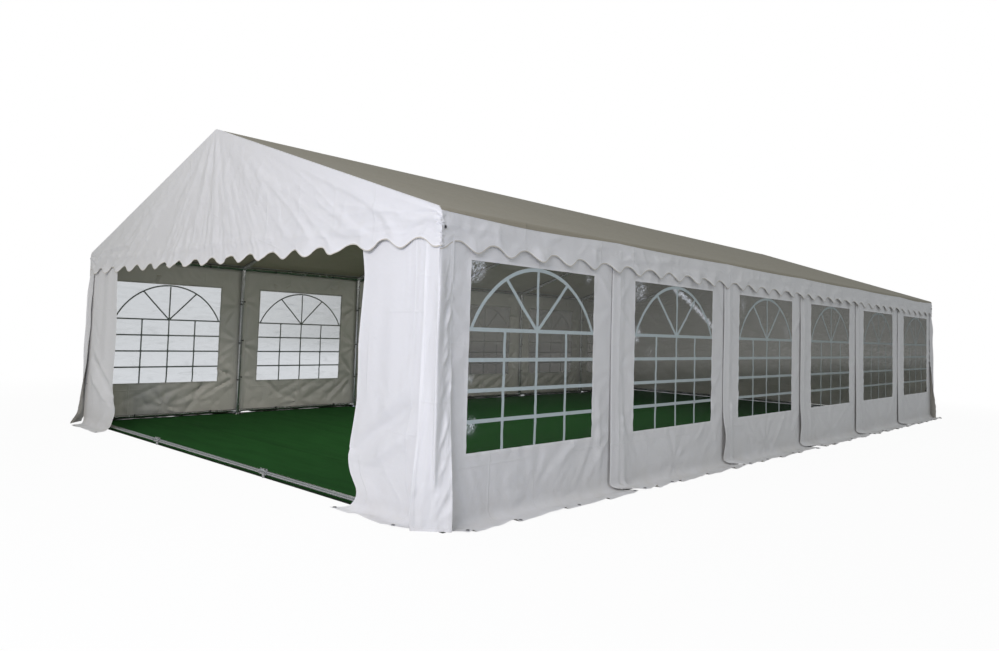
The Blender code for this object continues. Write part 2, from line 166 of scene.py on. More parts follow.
def start_group(name, kind, inputs, outputs):
    tree = bpy.data.node_groups.new(name, kind)
    for label, (sort, value) in inputs.items():
        socket = tree.interface.new_socket(label, in_out="INPUT", socket_type=SOCKET_KINDS[sort])
        if value is not None:
            socket.default_value = value
    for label, sort in outputs.items():
        tree.interface.new_socket(label, in_out="OUTPUT", socket_type=SOCKET_KINDS[sort])
    entry = tree.nodes.new("NodeGroupInput")
    leave = tree.nodes.new("NodeGroupOutput")
    return tree, entry.outputs, leave.inputs


def math_node(tree, operation, first, second=0.0, clamp=False):
    node = place_node(tree, "ShaderNodeMath", {0: first, 1: second}, operation=operation)
    node.use_clamp = clamp
    return node.outputs[0]


def times(tree, first, second, clamp=False):
    return math_node(tree, "MULTIPLY", first, second, clamp)


def plus(tree, first, second):
    return math_node(tree, "ADD", first, second)


def minus(tree, first, second, clamp=False):
    return math_node(tree, "SUBTRACT", first, second, clamp)


def vector_math(tree, operation, first, second):
    return place_node(tree, "ShaderNodeVectorMath", {0: first, 1: second}, operation=operation).outputs[0]


def blend_colors(tree, factor, first, second):
    inputs = {"Factor": factor, 6: first, 7: second}
    return place_node(tree, "ShaderNodeMix", inputs, data_type="RGBA").outputs[2]


def map_range(tree, value, source, target, smooth=False):
    """Carry a value from one range to another and hold it at both ends."""
    inputs = {
        "Value": value,
        "From Min": source[0], "From Max": source[1], "To Min": target[0], "To Max": target[1],
    }
    kind = "SMOOTHSTEP" if smooth else "LINEAR"
    return place_node(tree, "ShaderNodeMapRange", inputs, interpolation_type=kind).outputs[0]


def cloud(tree, vector, scale, detail, roughness=0.5, distortion=0.0):
    """A cloudy pattern round one half."""
    inputs = {
        "Vector": vector, "Scale": scale, "Detail": detail,
        "Roughness": roughness, "Distortion": distortion,
    }
    return place_node(tree, "ShaderNodeTexNoise", inputs).outputs["Fac"]


def bump_normal(tree, height, distance, strength=1.0, under=None):
    """The normal of a relief, laid over the relief under it."""
    inputs = {"Height": height, "Distance": distance, "Strength": strength}
    if under is not None:
        inputs["Normal"] = under
    return place_node(tree, "ShaderNodeBump", inputs).outputs[0]


def object_place(tree):
    return place_node(tree, "ShaderNodeTexCoord").outputs["Object"]


def axes_of(tree, vector):
    return place_node(tree, "ShaderNodeSeparateXYZ", {0: vector}).outputs


def carried(tree, name):
    """A value that the mesh carries on its points."""
    return place_node(tree, "ShaderNodeAttribute", attribute_name=name).outputs["Fac"]


def group_node(tree, group, inputs):
    return place_node(tree, "ShaderNodeGroup", inputs, node_tree=group)


print("helpers ready")

# %% [markdown]
# ## Wrinkles, shared by all cloths
#
# Coated cloth that was folded in a bag keeps two kinds of marks: soft crumples a hand wide, and a grid of
# straight fold lines. Both are too fine to model point by point, so they are heights for a bump. The
# group puts out the heights only. Each material says how strong they are.

# %% Group: crumples
def crumple_group():
    tree, entry, leave = start_group(
        "crumples", "ShaderNodeTree",
        {"Vector": ("vector", None), "Size": ("value", 0.12), "Crispness": ("value", 0.5)},
        {"Height": "value"},
    )
    pace = math_node(tree, "DIVIDE", 1.0, entry["Size"])
    soft = cloud(tree, entry["Vector"], pace, 2.0, 0.45, 0.6)
    ridges = place_node(tree, "ShaderNodeTexNoise", {
        "Vector": entry["Vector"], "Scale": pace, "Detail": 3.0, "Roughness": 0.5, "Distortion": 0.9,
    }, noise_type="RIDGED_MULTIFRACTAL", normalize=True)
    sharp = times(tree, ridges.outputs["Fac"], entry["Crispness"])
    total = plus(tree, soft, sharp)
    tree.links.new(total, leave["Height"])
    return tree


CRUMPLES = crumple_group()
print("group:", CRUMPLES.name)

# %% [markdown]
# ## Packing folds
#
# The straight folds run along and across the cut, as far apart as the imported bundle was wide. They come
# and go in patches, because a bundle is never pressed evenly. Each is a soft ridge on the nearest of a row
# of lines, which stays sharp from near and far, where an image would blur.

# %% Group: packing folds
def fold_line(tree, distance, spacing, width, wobble):
    """Height of a crease on the nearest of a row of parallel lines."""
    shifted = plus(tree, distance, wobble)
    turned = math_node(tree, "DIVIDE", shifted, spacing)
    nearest = math_node(tree, "ROUND", turned)
    gap = math_node(tree, "ABSOLUTE", minus(tree, turned, nearest))
    metres = times(tree, gap, spacing)
    return map_range(tree, metres, (0.0, width), (1.0, 0.0), smooth=True)


def packing_group():
    tree, entry, leave = start_group(
        "packing_folds", "ShaderNodeTree",
        {
            "Vector": ("vector", None), "Across": ("value", PACKED_ACROSS), "Down": ("value", PACKED_DOWN),
            "Width": ("value", 0.012),
        },
        {"Height": "value"},
    )
    parts = axes_of(tree, entry["Vector"])
    noise = cloud(tree, entry["Vector"], 1.7, 1.0)
    wobble = times(tree, minus(tree, noise, 0.5), 0.02)
    across = fold_line(tree, parts["X"], entry["Across"], entry["Width"], wobble)
    down = fold_line(tree, parts["Y"], entry["Down"], entry["Width"], wobble)
    patches = cloud(tree, entry["Vector"], 2.2, 0.0)
    present = map_range(tree, patches, (0.36, 0.60), (0.0, 1.0))
    both = math_node(tree, "MAXIMUM", across, times(tree, down, 0.8))
    tree.links.new(times(tree, both, present), leave["Height"])
    return tree


PACKING = packing_group()
print("group:", PACKING.name)

# %% [markdown]
# ## Weave
#
# The coating follows the threads under it, so a fine weave shows in the gloss close up. Two sine waves,
# one along the warp and one along the weft, are enough for threads a millimetre apart.

# %% Group: weave
def weave_group():
    tree, entry, leave = start_group(
        "weave", "ShaderNodeTree",
        {"Vector": ("vector", None), "Thread": ("value", 0.0011)},
        {"Height": "value"},
    )
    parts = axes_of(tree, entry["Vector"])
    pace = math_node(tree, "DIVIDE", math.pi, entry["Thread"])
    warp = math_node(tree, "SINE", times(tree, parts["X"], pace))
    weft = math_node(tree, "SINE", times(tree, parts["Y"], pace))
    over = times(tree, warp, weft)
    tree.links.new(over, leave["Height"])
    return tree


WEAVE = weave_group()
print("group:", WEAVE.name)

# %% [markdown]
# ## Hems
#
# Along each free edge the cloth is doubled over and sewn. Each sheet carries an attribute, "hem", with the
# distance to its nearest sewn edge in metres, which this group turns into a band and a row of stitches
# just inside it. The stitches are dashes along the seam, cut out of a thin line.

# %% Group: hem
def hem_group():
    tree, entry, leave = start_group(
        "hem", "ShaderNodeTree",
        {
            "Vector": ("vector", None), "Distance": ("value", 1.0), "Width": ("value", 0.025),
            "Stitch": ("value", 0.006),
        },
        {"Band": "value", "Stitches": "value"},
    )
    band_end = plus(tree, entry["Width"], 0.002)
    band = map_range(tree, entry["Distance"], (entry["Width"], band_end), (1.0, 0.0))
    seam = minus(tree, entry["Width"], 0.004)
    inset = minus(tree, entry["Distance"], seam)
    near = math_node(tree, "LESS_THAN", math_node(tree, "ABSOLUTE", inset), 0.0012)
    parts = axes_of(tree, entry["Vector"])
    along = plus(tree, parts["X"], parts["Y"])
    turned = math_node(tree, "DIVIDE", along, entry["Stitch"])
    dash = math_node(tree, "GREATER_THAN", math_node(tree, "FRACT", turned), 0.3)
    tree.links.new(band, leave["Band"])
    tree.links.new(times(tree, near, dash), leave["Stitches"])
    return tree


HEM = hem_group()
print("group:", HEM.name)

# %% [markdown]
# ## Dust
#
# Dust gathers where rain splashes it up: near the ground, in patches. The group puts out how much of it
# there is, and each cloth says what colour it has there.

# %% Group: dust
def dust_group():
    tree, entry, leave = start_group(
        "splash_dust", "ShaderNodeTree",
        {"Vector": ("vector", None), "Reach": ("value", 0.35)},
        {"Mask": "value"},
    )
    parts = axes_of(tree, entry["Vector"])
    noise = cloud(tree, entry["Vector"], 3.5, 5.0, 0.65)
    height = math_node(tree, "DIVIDE", parts["Z"], entry["Reach"])
    low = minus(tree, 1.0, height, clamp=True)
    patchy = map_range(tree, noise, (0.35, 0.75), (0.0, 1.0))
    raised = math_node(tree, "POWER", low, 1.8)
    tree.links.new(times(tree, raised, patchy), leave["Mask"])
    return tree


DUST = dust_group()
print("group:", DUST.name)

# %% [markdown]
# ## Creases of clear film
#
# A clear film shows its creases only where they catch the light: hair lines that run side by side, and
# curls where it was crushed. This group draws both and puts out one mask, along which the film's colour
# gets painted glints. The lines follow the two distances that each film carries, across and along its
# creases.

# %% Group: film creases
def thin_line(tree, noise, strength, width):
    """1 where a soft noise passes its middle value, wider where the painted glints are stronger."""
    away = math_node(tree, "ABSOLUTE", minus(tree, noise, 0.5))
    reach = math_node(tree, "MAXIMUM", times(tree, strength, width), 0.0001)
    return map_range(tree, math_node(tree, "DIVIDE", away, reach), (0.5, 1.0), (1.0, 0.0), smooth=True)


def film_crease_group():
    tree, entry, leave = start_group(
        "film_crease_glints", "ShaderNodeTree",
        {
            "Vector": ("vector", None), "Across": ("value", 0.0), "Along": ("value", 0.0),
            "Strength": ("value", 0.0),
        },
        {"Mask": "value", "Height": "value"},
    )
    drawn_out = place_node(tree, "ShaderNodeCombineXYZ", {
        "X": times(tree, entry["Across"], 7.0), "Y": entry["Along"],
    }).outputs[0]
    lines = cloud(tree, drawn_out, 8.0, 2.0, 0.6, 0.6)
    curls = cloud(tree, entry["Vector"], 42.0, 1.0, 0.6, 1.2)
    straight = thin_line(tree, lines, entry["Strength"], 0.022)
    curled = thin_line(tree, curls, entry["Strength"], 0.026)
    both = math_node(tree, "MAXIMUM", straight, times(tree, curled, 0.85))
    squared = times(tree, entry["Strength"], entry["Strength"])
    shown = times(tree, squared, 3.0, clamp=True)
    tree.links.new(times(tree, both, shown), leave["Mask"])
    tree.links.new(lines, leave["Height"])
    return tree


FILM_GLINTS = film_crease_group()
print("group:", FILM_GLINTS.name)

# %% [markdown]
# ## Cloth materials
#
# All cloths are the same kind of stuff, a woven base with a smooth coat, in four finishes: bright white
# outside on walls, gables and valance, warm grey on the roof, and a duller grey-green block-out coat on
# the inner faces. One function builds them, so that the wrinkles stay alike and only the colours differ.

# %% Cloth materials
def new_surface(name, color, roughness, metallic=0.0):
    material = bpy.data.materials.new(name)
    material.use_nodes = True
    tree = material.node_tree
    shader = tree.nodes["Principled BSDF"]
    shader.inputs["Base Color"].default_value = (*color, 1)
    shader.inputs["Roughness"].default_value = roughness
    shader.inputs["Metallic"].default_value = metallic
    return material, tree, shader


BINDING = (0.78, 0.71, 0.56)


def coated_cloth(name, color, dusty, roughness=0.5, crumple=0.0045, folds=0.0019, dust=0.35):
    material, tree, shader = new_surface(name, color, roughness)
    cut = place_node(tree, "ShaderNodeUVMap", uv_map="cloth").outputs[0]
    where = object_place(tree)
    distance = carried(tree, "hem")
    bound = carried(tree, "bound")
    hem = group_node(tree, HEM, {"Vector": cut, "Distance": distance})
    broad = group_node(tree, CRUMPLES, {"Vector": where, "Size": 0.24, "Crispness": 1.1})
    fine = group_node(tree, CRUMPLES, {"Vector": where, "Size": 0.06, "Crispness": 1.2})
    lines = group_node(tree, PACKING, {"Vector": cut})
    threads = group_node(tree, WEAVE, {"Vector": cut})
    dirt = group_node(tree, DUST, {"Vector": where})
    mottle = cloud(tree, where, 1.6, 4.0)

    darker = tuple(0.93 * c for c in color)
    tone = blend_colors(tree, mottle, (*color, 1), (*darker, 1))
    doubled = tuple(min(1.0, 1.04 * c) for c in color)
    tone = blend_colors(tree, times(tree, hem.outputs["Band"], 0.7), tone, (*doubled, 1))
    stitch_and_fold_shade = tuple(0.72 * c for c in color)
    tone = blend_colors(tree, times(tree, hem.outputs["Stitches"], 0.6), tone, (*stitch_and_fold_shade, 1))
    edge = map_range(tree, distance, (0.007, 0.009), (0.7, 0.0))
    binding = tuple(c * b * 0.85 for c, b in zip(color, BINDING))
    tone = blend_colors(tree, times(tree, edge, bound), tone, (*binding, 1))
    # Painted shade: the colour darkens along each packing fold, as shade would in the crease.
    painted_crease_light = map_range(tree, lines.outputs["Height"], (0.5, 1.0), (0.0, 0.08))
    tone = blend_colors(tree, painted_crease_light, tone, (*stitch_and_fold_shade, 1))
    tone = blend_colors(tree, times(tree, dirt.outputs["Mask"], dust), tone, (*dusty, 1))
    tree.links.new(tone, shader.inputs["Base Color"])

    rough = map_range(tree, fine.outputs["Height"], (0.2, 1.4), (roughness - 0.06, roughness + 0.1))
    tree.links.new(rough, shader.inputs["Roughness"])

    layers = [
        (broad.outputs["Height"], crumple),
        (fine.outputs["Height"], crumple * 0.25),
        (lines.outputs["Height"], folds),
        (hem.outputs["Band"], 0.0008),
        (threads.outputs["Height"], 0.00006),
    ]
    normal = None
    for height, depth in layers:
        normal = bump_normal(tree, height, depth, under=normal)
    tree.links.new(normal, shader.inputs["Normal"])
    return material


wall_outside = coated_cloth("wall_outside", (0.80, 0.80, 0.815), (0.50, 0.46, 0.38))
wall_inside = coated_cloth("wall_inside", (0.545, 0.53, 0.485), (0.36, 0.34, 0.27), roughness=0.42)
roof_outside = coated_cloth(
    "roof_outside", (0.319, 0.292, 0.228), (0.22, 0.20, 0.16), roughness=0.6, crumple=0.004, dust=0.0
)
roof_inside = coated_cloth(
    "roof_inside", (0.52, 0.46, 0.36), (0.20, 0.20, 0.15), roughness=0.65, crumple=0.004, dust=0.0
)
WHITE_CLOTH = (wall_outside, wall_inside)
print("cloths:", wall_outside.name, wall_inside.name, roof_outside.name, roof_inside.name)

# %% [markdown]
# ## Galvanised steel
#
# Zinc grows in crystals about a centimetre wide that each reflect a little differently, which a Voronoi
# texture gives. Its edges are bent by a fine noise, and dull stains lie over it in patches. The tubes keep
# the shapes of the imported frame, so only their finish is set here.

# %% Galvanised steel
def galvanised_steel():
    material, tree, shader = new_surface("galvanised_steel", (0.55, 0.56, 0.57), 0.3, metallic=0.95)
    where = object_place(tree)
    bent = place_node(tree, "ShaderNodeTexNoise", {"Vector": where, "Scale": 60.0, "Detail": 2.0})
    moved = vector_math(tree, "MULTIPLY", bent.outputs["Color"], (0.004,) * 3)
    path = vector_math(tree, "ADD", where, moved)
    spangle = place_node(tree, "ShaderNodeTexVoronoi", {"Vector": path, "Scale": 85.0})
    grey = place_node(tree, "ShaderNodeSeparateColor", {0: spangle.outputs["Color"]}).outputs[0]
    tone = blend_colors(tree, grey, (0.50, 0.51, 0.52, 1), (0.56, 0.57, 0.58, 1))
    stain = cloud(tree, where, 9.0, 6.0, 0.7)
    dull = map_range(tree, stain, (0.52, 0.75), (0.0, 0.15))
    tone = blend_colors(tree, dull, tone, (0.40, 0.40, 0.39, 1))
    tree.links.new(tone, shader.inputs["Base Color"])
    by_crystal = times(tree, grey, 0.04)
    rough = plus(tree, by_crystal, plus(tree, dull, 0.20))
    tree.links.new(rough, shader.inputs["Roughness"])
    tree.links.new(bump_normal(tree, stain, 0.0001, 0.1), shader.inputs["Normal"])
    return material


steel = galvanised_steel()
for name, node in nodes.items():
    if name.startswith("portal_frame") or name.endswith("purlin") or name.endswith("ground_bar"):
        node.data.materials.clear()
        node.data.materials.append(steel)
print("zinc on", sum(steel.name in n.data.materials for n in nodes.values()), "nodes")

# %% [markdown]
# ## Window film
#
# The film is a clear sheet with a veil: thin and dark near the ground, paler and thicker from the middle of
# the window up, and there thicker again towards the back of the hall, as in the photo. That last part is a
# painted reflection of the surroundings, which a film shows more where one looks along it. Its creases
# carry
# painted glints over the veil: a pale colour that glows a little, standing in for the sky that real ones
# reflect and a white studio doesn't have. The veil could be left to reflections alone, but then it would
# change with every lamp.

# %% Window film
def window_film():
    clear = (0.05, 0.055, 0.055)
    material, tree, shader = new_surface("window_film", clear, 0.10)
    shader.inputs["Emission Strength"].default_value = 0.20
    where = object_place(tree)
    marks = {
        "Strength": carried(tree, "painted_crease_light"),
        "Across": carried(tree, "crease_across"),
        "Along": carried(tree, "crease_along"),
    }
    creases = group_node(tree, FILM_GLINTS, {"Vector": where, **marks})
    level = vector_math(tree, "MULTIPLY", where, (1.0, 0.45, 2.0))
    broad = group_node(tree, CRUMPLES, {"Vector": level, "Size": 0.10, "Crispness": 0.9})
    painted_glint = creases.outputs["Mask"]
    parts = axes_of(tree, where)
    upper = map_range(tree, parts["Z"], (0.70, 1.10), (0.0, 1.0), smooth=True)
    veil = blend_colors(tree, upper, (0.03, 0.035, 0.033, 1), (0.46, 0.45, 0.425, 1))
    # Painted glints: where the film's creases would catch the light, its colour turns pale.
    tone = blend_colors(tree, painted_glint, veil, (0.86, 0.89, 0.95, 1))
    tree.links.new(tone, shader.inputs["Base Color"])
    # The painted glints also glow a little, standing in for the sky that real creases reflect.
    glint_glow = blend_colors(tree, painted_glint, (0, 0, 0, 1), (0.86, 0.90, 1.0, 1))
    tree.links.new(glint_glow, shader.inputs["Emission Color"])
    haze_and_reflection = map_range(tree, broad.outputs["Height"], (0.4, 1.4), (0.05, 0.12))
    # Painted reflection: from the middle of the window up, the veil thickens towards the back of the hall,
    # where one looks along the film.
    reflection_down_hall = map_range(tree, parts["Y"], (-4.4, -0.5), (0.045, 0.32))
    haze_and_reflection = plus(tree, haze_and_reflection, times(tree, upper, reflection_down_hall))
    opaque = map_range(tree, painted_glint, (0.0, 1.0), (haze_and_reflection, 0.9))
    tree.links.new(opaque, shader.inputs["Alpha"])
    waves = bump_normal(tree, broad.outputs["Height"], 0.004)
    normal = bump_normal(tree, creases.outputs["Height"], 0.0015, under=waves)
    tree.links.new(normal, shader.inputs["Normal"])
    return material


film_surface = window_film()
print("film:", film_surface.name)

# %% [markdown]
# ## Bars, carpet and small parts
#
# The bars are strips of pale coated cloth, welded on, and the carpet is needled pile, matt, with streaks
# where it was rolled. Rubber, cord, bolts and zip are plain coats that differ in colour, gloss and grain.

# %% Bars, carpet, rubber and zip
def plain_coat(name, color, roughness, grain=0.0004):
    material, tree, shader = new_surface(name, color, roughness)
    where = object_place(tree)
    noise = cloud(tree, where, 45.0, 4.0)
    darker = tuple(0.8 * c for c in color)
    tone = blend_colors(tree, noise, (*color, 1), (*darker, 1))
    tree.links.new(tone, shader.inputs["Base Color"])
    tree.links.new(bump_normal(tree, noise, grain), shader.inputs["Normal"])
    return material


def see_through_from_behind(material, kept):
    """A pale strip shows little from inside, so that the painted shade of its dark core shows, and fades
    towards the back of the hall as a painted reflection.
    """
    tree = material.node_tree
    behind = place_node(tree, "ShaderNodeNewGeometry").outputs["Backfacing"]
    gone = times(tree, behind, 1 - kept)
    where = object_place(tree)
    # Painted reflection: the strips fade towards the back of the hall, as if veiled by the film's
    # reflection where one looks along the wall.
    wear_and_reflection_fade = map_range(tree, axes_of(tree, where)["Y"], (-4.0, 3.0), (1.0, 0.42))
    alpha = times(tree, minus(tree, 1.0, gone), wear_and_reflection_fade)
    tree.links.new(alpha, tree.nodes["Principled BSDF"].inputs["Alpha"])
    return material


def needle_pile():
    material, tree, shader = new_surface("needle_pile", (0.012, 0.068, 0.013), 1.0)
    shader.inputs["Specular IOR Level"].default_value = 0.08
    where = object_place(tree)
    tufts = cloud(tree, where, 260.0, 3.0, 0.8)
    stretched = vector_math(tree, "MULTIPLY", where, (0.8, 5.0, 1.0))
    streaks = cloud(tree, stretched, 1.6, 6.0)
    wear_and_reflection_fade = cloud(tree, where, 0.8, 3.0)
    tone = blend_colors(tree, tufts, (0.008, 0.044, 0.009, 1), (0.020, 0.100, 0.021, 1))
    patchy = map_range(tree, streaks, (0.42, 0.62), (0.0, 0.4))
    tone = blend_colors(tree, patchy, tone, (0.007, 0.036, 0.008, 1))
    tone = blend_colors(tree, times(tree, wear_and_reflection_fade, 0.35), tone, (0.018, 0.088, 0.019, 1))
    parts = axes_of(tree, where)
    strip = plus(tree, math_node(tree, "DIVIDE", parts["Y"], 2.0), 0.5)
    gap = math_node(tree, "ABSOLUTE", minus(tree, strip, math_node(tree, "ROUND", strip)))
    seam = math_node(tree, "LESS_THAN", gap, 0.003)
    tone = blend_colors(tree, times(tree, seam, 0.6), tone, (0.006, 0.02, 0.006, 1))
    tree.links.new(tone, shader.inputs["Base Color"])
    short = bump_normal(tree, tufts, 0.003, 0.7)
    normal = bump_normal(tree, minus(tree, wear_and_reflection_fade, seam), 0.006, under=short)
    tree.links.new(normal, shader.inputs["Normal"])
    return material


bar_surface = see_through_from_behind(plain_coat("window_bar_coat", (0.52, 0.60, 0.62), 0.45), 0.12)
# The dark core is painted shade: the pale strip seen from inside against the light.
bar_backlit_shade = plain_coat("window_bar_backlit_shade", (0.14, 0.17, 0.155), 0.5)
# Black rubber for the elastic balls, also used as painted shade in the eyelet holes.
rubber_and_hole_shade = plain_coat("black_rubber_and_hole_shade", (0.018, 0.018, 0.02), 0.5)
elastic = plain_coat("elastic_cord", (0.05, 0.05, 0.055), 0.8, grain=0.001)
bolt_zinc = plain_coat("bolt_zinc", (0.45, 0.45, 0.46), 0.35)
bolt_zinc.node_tree.nodes["Principled BSDF"].inputs["Metallic"].default_value = 0.9
zip_nylon = plain_coat("zip_nylon", (0.30, 0.30, 0.31), 0.5)
pile = needle_pile()
print("small finishes ready")

# %% [markdown]
# ## How cloth waves
#
# Cloth that hangs doesn't wave at random: it has long soft waves down its length, straight drags between
# the points that hold it, and stars of short folds round each tie. Each is a formula of the place on the
# sheet, so that a window film can follow the wall it is welded to. The random numbers are seeded, so the
# folds are the same each time.

# %% Wave formulas
def ripples(u, v, seed, length, turn=0.0, stretch=1.0, waves=9):
    """Soft waves about length metres long, drawn out along the direction turn."""
    random = np.random.default_rng(seed)
    along = u * math.cos(turn) + v * math.sin(turn)
    across = v * math.cos(turn) - u * math.sin(turn)
    total = np.zeros(np.broadcast(u, v).shape)
    for _ in range(waves):
        heading = random.uniform(0, 2 * math.pi)
        pace = 2 * math.pi / length * random.uniform(0.6, 1.5)
        shift = random.uniform(0, 2 * math.pi)
        total += np.sin(pace * (across * math.cos(heading) + along * math.sin(heading) / stretch) + shift)
    return total / math.sqrt(waves / 2)


def crests(u, v, seed, length, turn=0.0, stretch=1.0):
    """Sharp ridges where soft waves cross zero, as in crumpled cloth."""
    wave = ripples(u, v, seed, length, turn, stretch)
    return 1 - 2 * np.sqrt(np.minimum(wave * wave, 1.2) + 0.01)


def drag(u, v, start, end, width):
    """A straight fold between two points, highest in its middle, sharp on top."""
    run_u, run_v = end[0] - start[0], end[1] - start[1]
    length = math.hypot(run_u, run_v)
    place = ((u - start[0]) * run_u + (v - start[1]) * run_v) / length**2
    away = ((u - start[0]) * run_v - (v - start[1]) * run_u) / length
    fade = np.sin(np.clip(place, 0, 1) * math.pi) ** 0.7
    return np.exp(-((np.abs(away) / width) ** 1.5)) * fade


def chance_drag(random, u, v, start, end, depths, widths):
    """A drag whose depth and width are drawn from two ranges."""
    return random.uniform(*depths) * drag(u, v, start, end, random.uniform(*widths))


def star(u, v, at, reach, rays, seed):
    """Short folds that run out from a tie."""
    from_u, from_v = u - at[0], v - at[1]
    distance = np.hypot(from_u, from_v)
    angle = np.arctan2(from_v, from_u)
    wobble = 0.6 * np.sin(3 * angle + seed)
    return np.exp(-distance / reach) * distance / (distance + 0.05) * np.sin(rays * angle + wobble + seed)


def ease(value, low, high):
    share = np.clip((value - low) / (high - low), 0, 1)
    return share * share * (3 - 2 * share)


def bump(value, centre, width):
    return np.exp(-(((value - centre) / width) ** 2))


def stacked(*parts):
    """Coordinates side by side; a single number holds for every point."""
    return np.stack(np.broadcast_arrays(*parts), axis=-1)


def steps(*stops, cell=0.025):
    """Places from the first stop to the last, a cell apart, with a place on every stop."""
    runs = []
    for low, high in zip(stops, stops[1:]):
        count = max(1, round(abs(high - low) / cell))
        runs.append(np.linspace(low, high, count + 1)[:-1])
    return np.concatenate([*runs, [stops[-1]]])


print("waves ready")

# %% [markdown]
# ## A sheet seen from its side
#
# Seen along its edge, a hanging cloth is one curve: it leaves the roof, turns over the eave and drops, or
# it drops and turns out over the ground. The curve is kept as lengths of cloth with the place there. Asked
# for a length, it answers with that place and with the direction that the outer face looks in, so relief
# always stands off the cloth, on the turn too.

# %% Side curves
def side_curve(reach, height):
    length = np.concatenate([[0], np.cumsum(np.hypot(np.diff(reach), np.diff(height)))])
    return length, np.array(reach), np.array(height)


def follow(v, curve):
    """Reach, height and outward direction of the cloth, v metres down."""
    length, reach, height = curve
    tiny = 0.004
    here = np.interp(v, length, reach), np.interp(v, length, height)
    ahead_reach = np.interp(v + tiny, length, reach) - np.interp(v - tiny, length, reach)
    ahead_height = np.interp(v + tiny, length, height) - np.interp(v - tiny, length, height)
    size = np.hypot(ahead_reach, ahead_height)
    return *here, -ahead_height / size, ahead_reach / size


BEND = 0.07


def hanging_curve(flap):
    """A wall from its top to the edge of its ground flap; reach is measured from the wall's plane."""
    turn = np.linspace(0, math.pi / 2, 12)
    reach = np.concatenate([[0.0], BEND * (1 - np.cos(turn)), [flap]])
    height = np.concatenate([[WALL_TOP], BEND * (1 - np.sin(turn)) + LYING, [LYING]])
    return side_curve(reach, height)


TURN_RADIUS = 0.03
ROOF_RUN = 0.06


def eave_curve():
    """From a line on the roof near the eave, over the turn and down; reach is measured from the middle."""
    slope = math.atan(SLOPE)
    lead = TURN_RADIUS * math.tan((math.pi / 2 - slope) / 2)
    angle = np.linspace(math.pi / 2 - slope, 0, 9)
    reach = HALF_WIDTH - TURN_RADIUS * (1 - np.cos(angle))
    height = EAVE - lead + TURN_RADIUS * np.sin(angle)
    first = (HALF_WIDTH - ROOF_RUN * math.cos(slope), EAVE + ROOF_RUN * math.sin(slope))
    return side_curve(
        np.concatenate([[first[0]], reach, [HALF_WIDTH]]), np.concatenate([[first[1]], height, [1.6]])
    )


WALL_CURVE = hanging_curve(FLAP_REACH)
WALL_LENGTH = float(WALL_CURVE[0][-1])
FLAP_START = WALL_LENGTH - (FLAP_REACH - BEND)
EAVE_CURVE = eave_curve()
TURN_END = float(EAVE_CURVE[0][-2])
TURN_LOW = float(EAVE_CURVE[2][-2])
print("wall cloth", round(WALL_LENGTH, 3), "m from top to the flap's edge")

# %% [markdown]
# ## From a grid to a sheet
#
# Every cloth is a grid of points over the flat cut. The grid is given a UV map in metres of flat cloth,
# which keeps the weave true where the cloth bends, and a thickness by Solidify, whose inner face takes
# the second material.

# %% Sheets
def face_grid(rows, columns, keep):
    index = np.arange(rows * columns).reshape(rows, columns)
    faces = np.stack([index[:-1, :-1], index[:-1, 1:], index[1:, 1:], index[1:, :-1]], axis=-1)
    if keep is not None:
        faces = faces[keep]
    return faces.reshape(-1, 4)


def facing_sum(points, faces):
    """The sum of all the face normals, weighted by area."""
    first = points[faces[:, 2]] - points[faces[:, 0]]
    second = points[faces[:, 3]] - points[faces[:, 1]]
    return np.cross(first, second).sum(axis=0)


def add_object(name, mesh, *materials):
    for material in materials:
        mesh.materials.append(material)
    made = bpy.data.objects.new(name, mesh)
    bpy.context.scene.collection.objects.link(made)
    return made


def bake(made):
    """Turn an object with modifiers into a plain mesh."""
    graph = bpy.context.evaluated_depsgraph_get()
    mesh = bpy.data.meshes.new_from_object(made.evaluated_get(graph))
    made.modifiers.clear()
    made.data = mesh
    return made


def make_sheet(name, points, cut, hem, outside, materials, keep=None, thickness=CLOTH, marks=None):
    """A cloth from a grid of points; outside is a direction that its outer face looks along."""
    rows, columns = points.shape[:2]
    flat_points = points.reshape(-1, 3)
    faces = face_grid(rows, columns, keep)
    if np.dot(facing_sum(flat_points, faces), outside) < 0:
        faces = faces[:, ::-1]
    used, faces = np.unique(faces, return_inverse=True)
    faces = faces.reshape(-1, 4)
    mesh = bpy.data.meshes.new(name)
    mesh.from_pydata(flat_points[used].tolist(), [], faces.tolist())
    layer = mesh.uv_layers.new(name="cloth")
    layer.data.foreach_set("uv", cut.reshape(-1, 2)[used][faces.ravel()].ravel())
    for label, values in {"hem": hem, **(marks or {})}.items():
        mark = mesh.attributes.new(label, "FLOAT", "POINT")
        spread = np.broadcast_to(values, (rows, columns)).reshape(-1)
        mark.data.foreach_set("value", spread[used].astype(np.float32))
    mesh.shade_smooth()
    made = add_object(name, mesh, *materials)
    shell = made.modifiers.new("thickness", "SOLIDIFY")
    shell.thickness = thickness
    shell.offset = -1
    shell.material_offset = len(materials) - 1
    bake(made)
    made.data.set_sharp_from_angle(angle=math.radians(55))
    return made


def dress(made, stands_for=(), pieces=()):
    """Hang the sheet and its extra pieces under the root, and hide the solids it replaces."""
    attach(made, "root")
    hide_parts(*stands_for)
    for piece in pieces:
        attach(piece, "root")


print("sheet maker ready")

# %% [markdown]
# ## The roof cover
#
# The roof is one sheet from eave to eave, drawn tight over the rafters. Between two rafters nothing holds
# it, so it sinks by a centimetre or two, and the pull of the eaves leaves faint drags down the slope.
# At the eaves it turns over the purlin, and its edge dips a little between two rafters.
# It could be draped by simulation, but a sheet this tight only needs its sag.

# %% Roof cover
RIDGE_ROUND = 0.012
SLOPE_LENGTH = HALF_WIDTH * math.hypot(1, SLOPE)


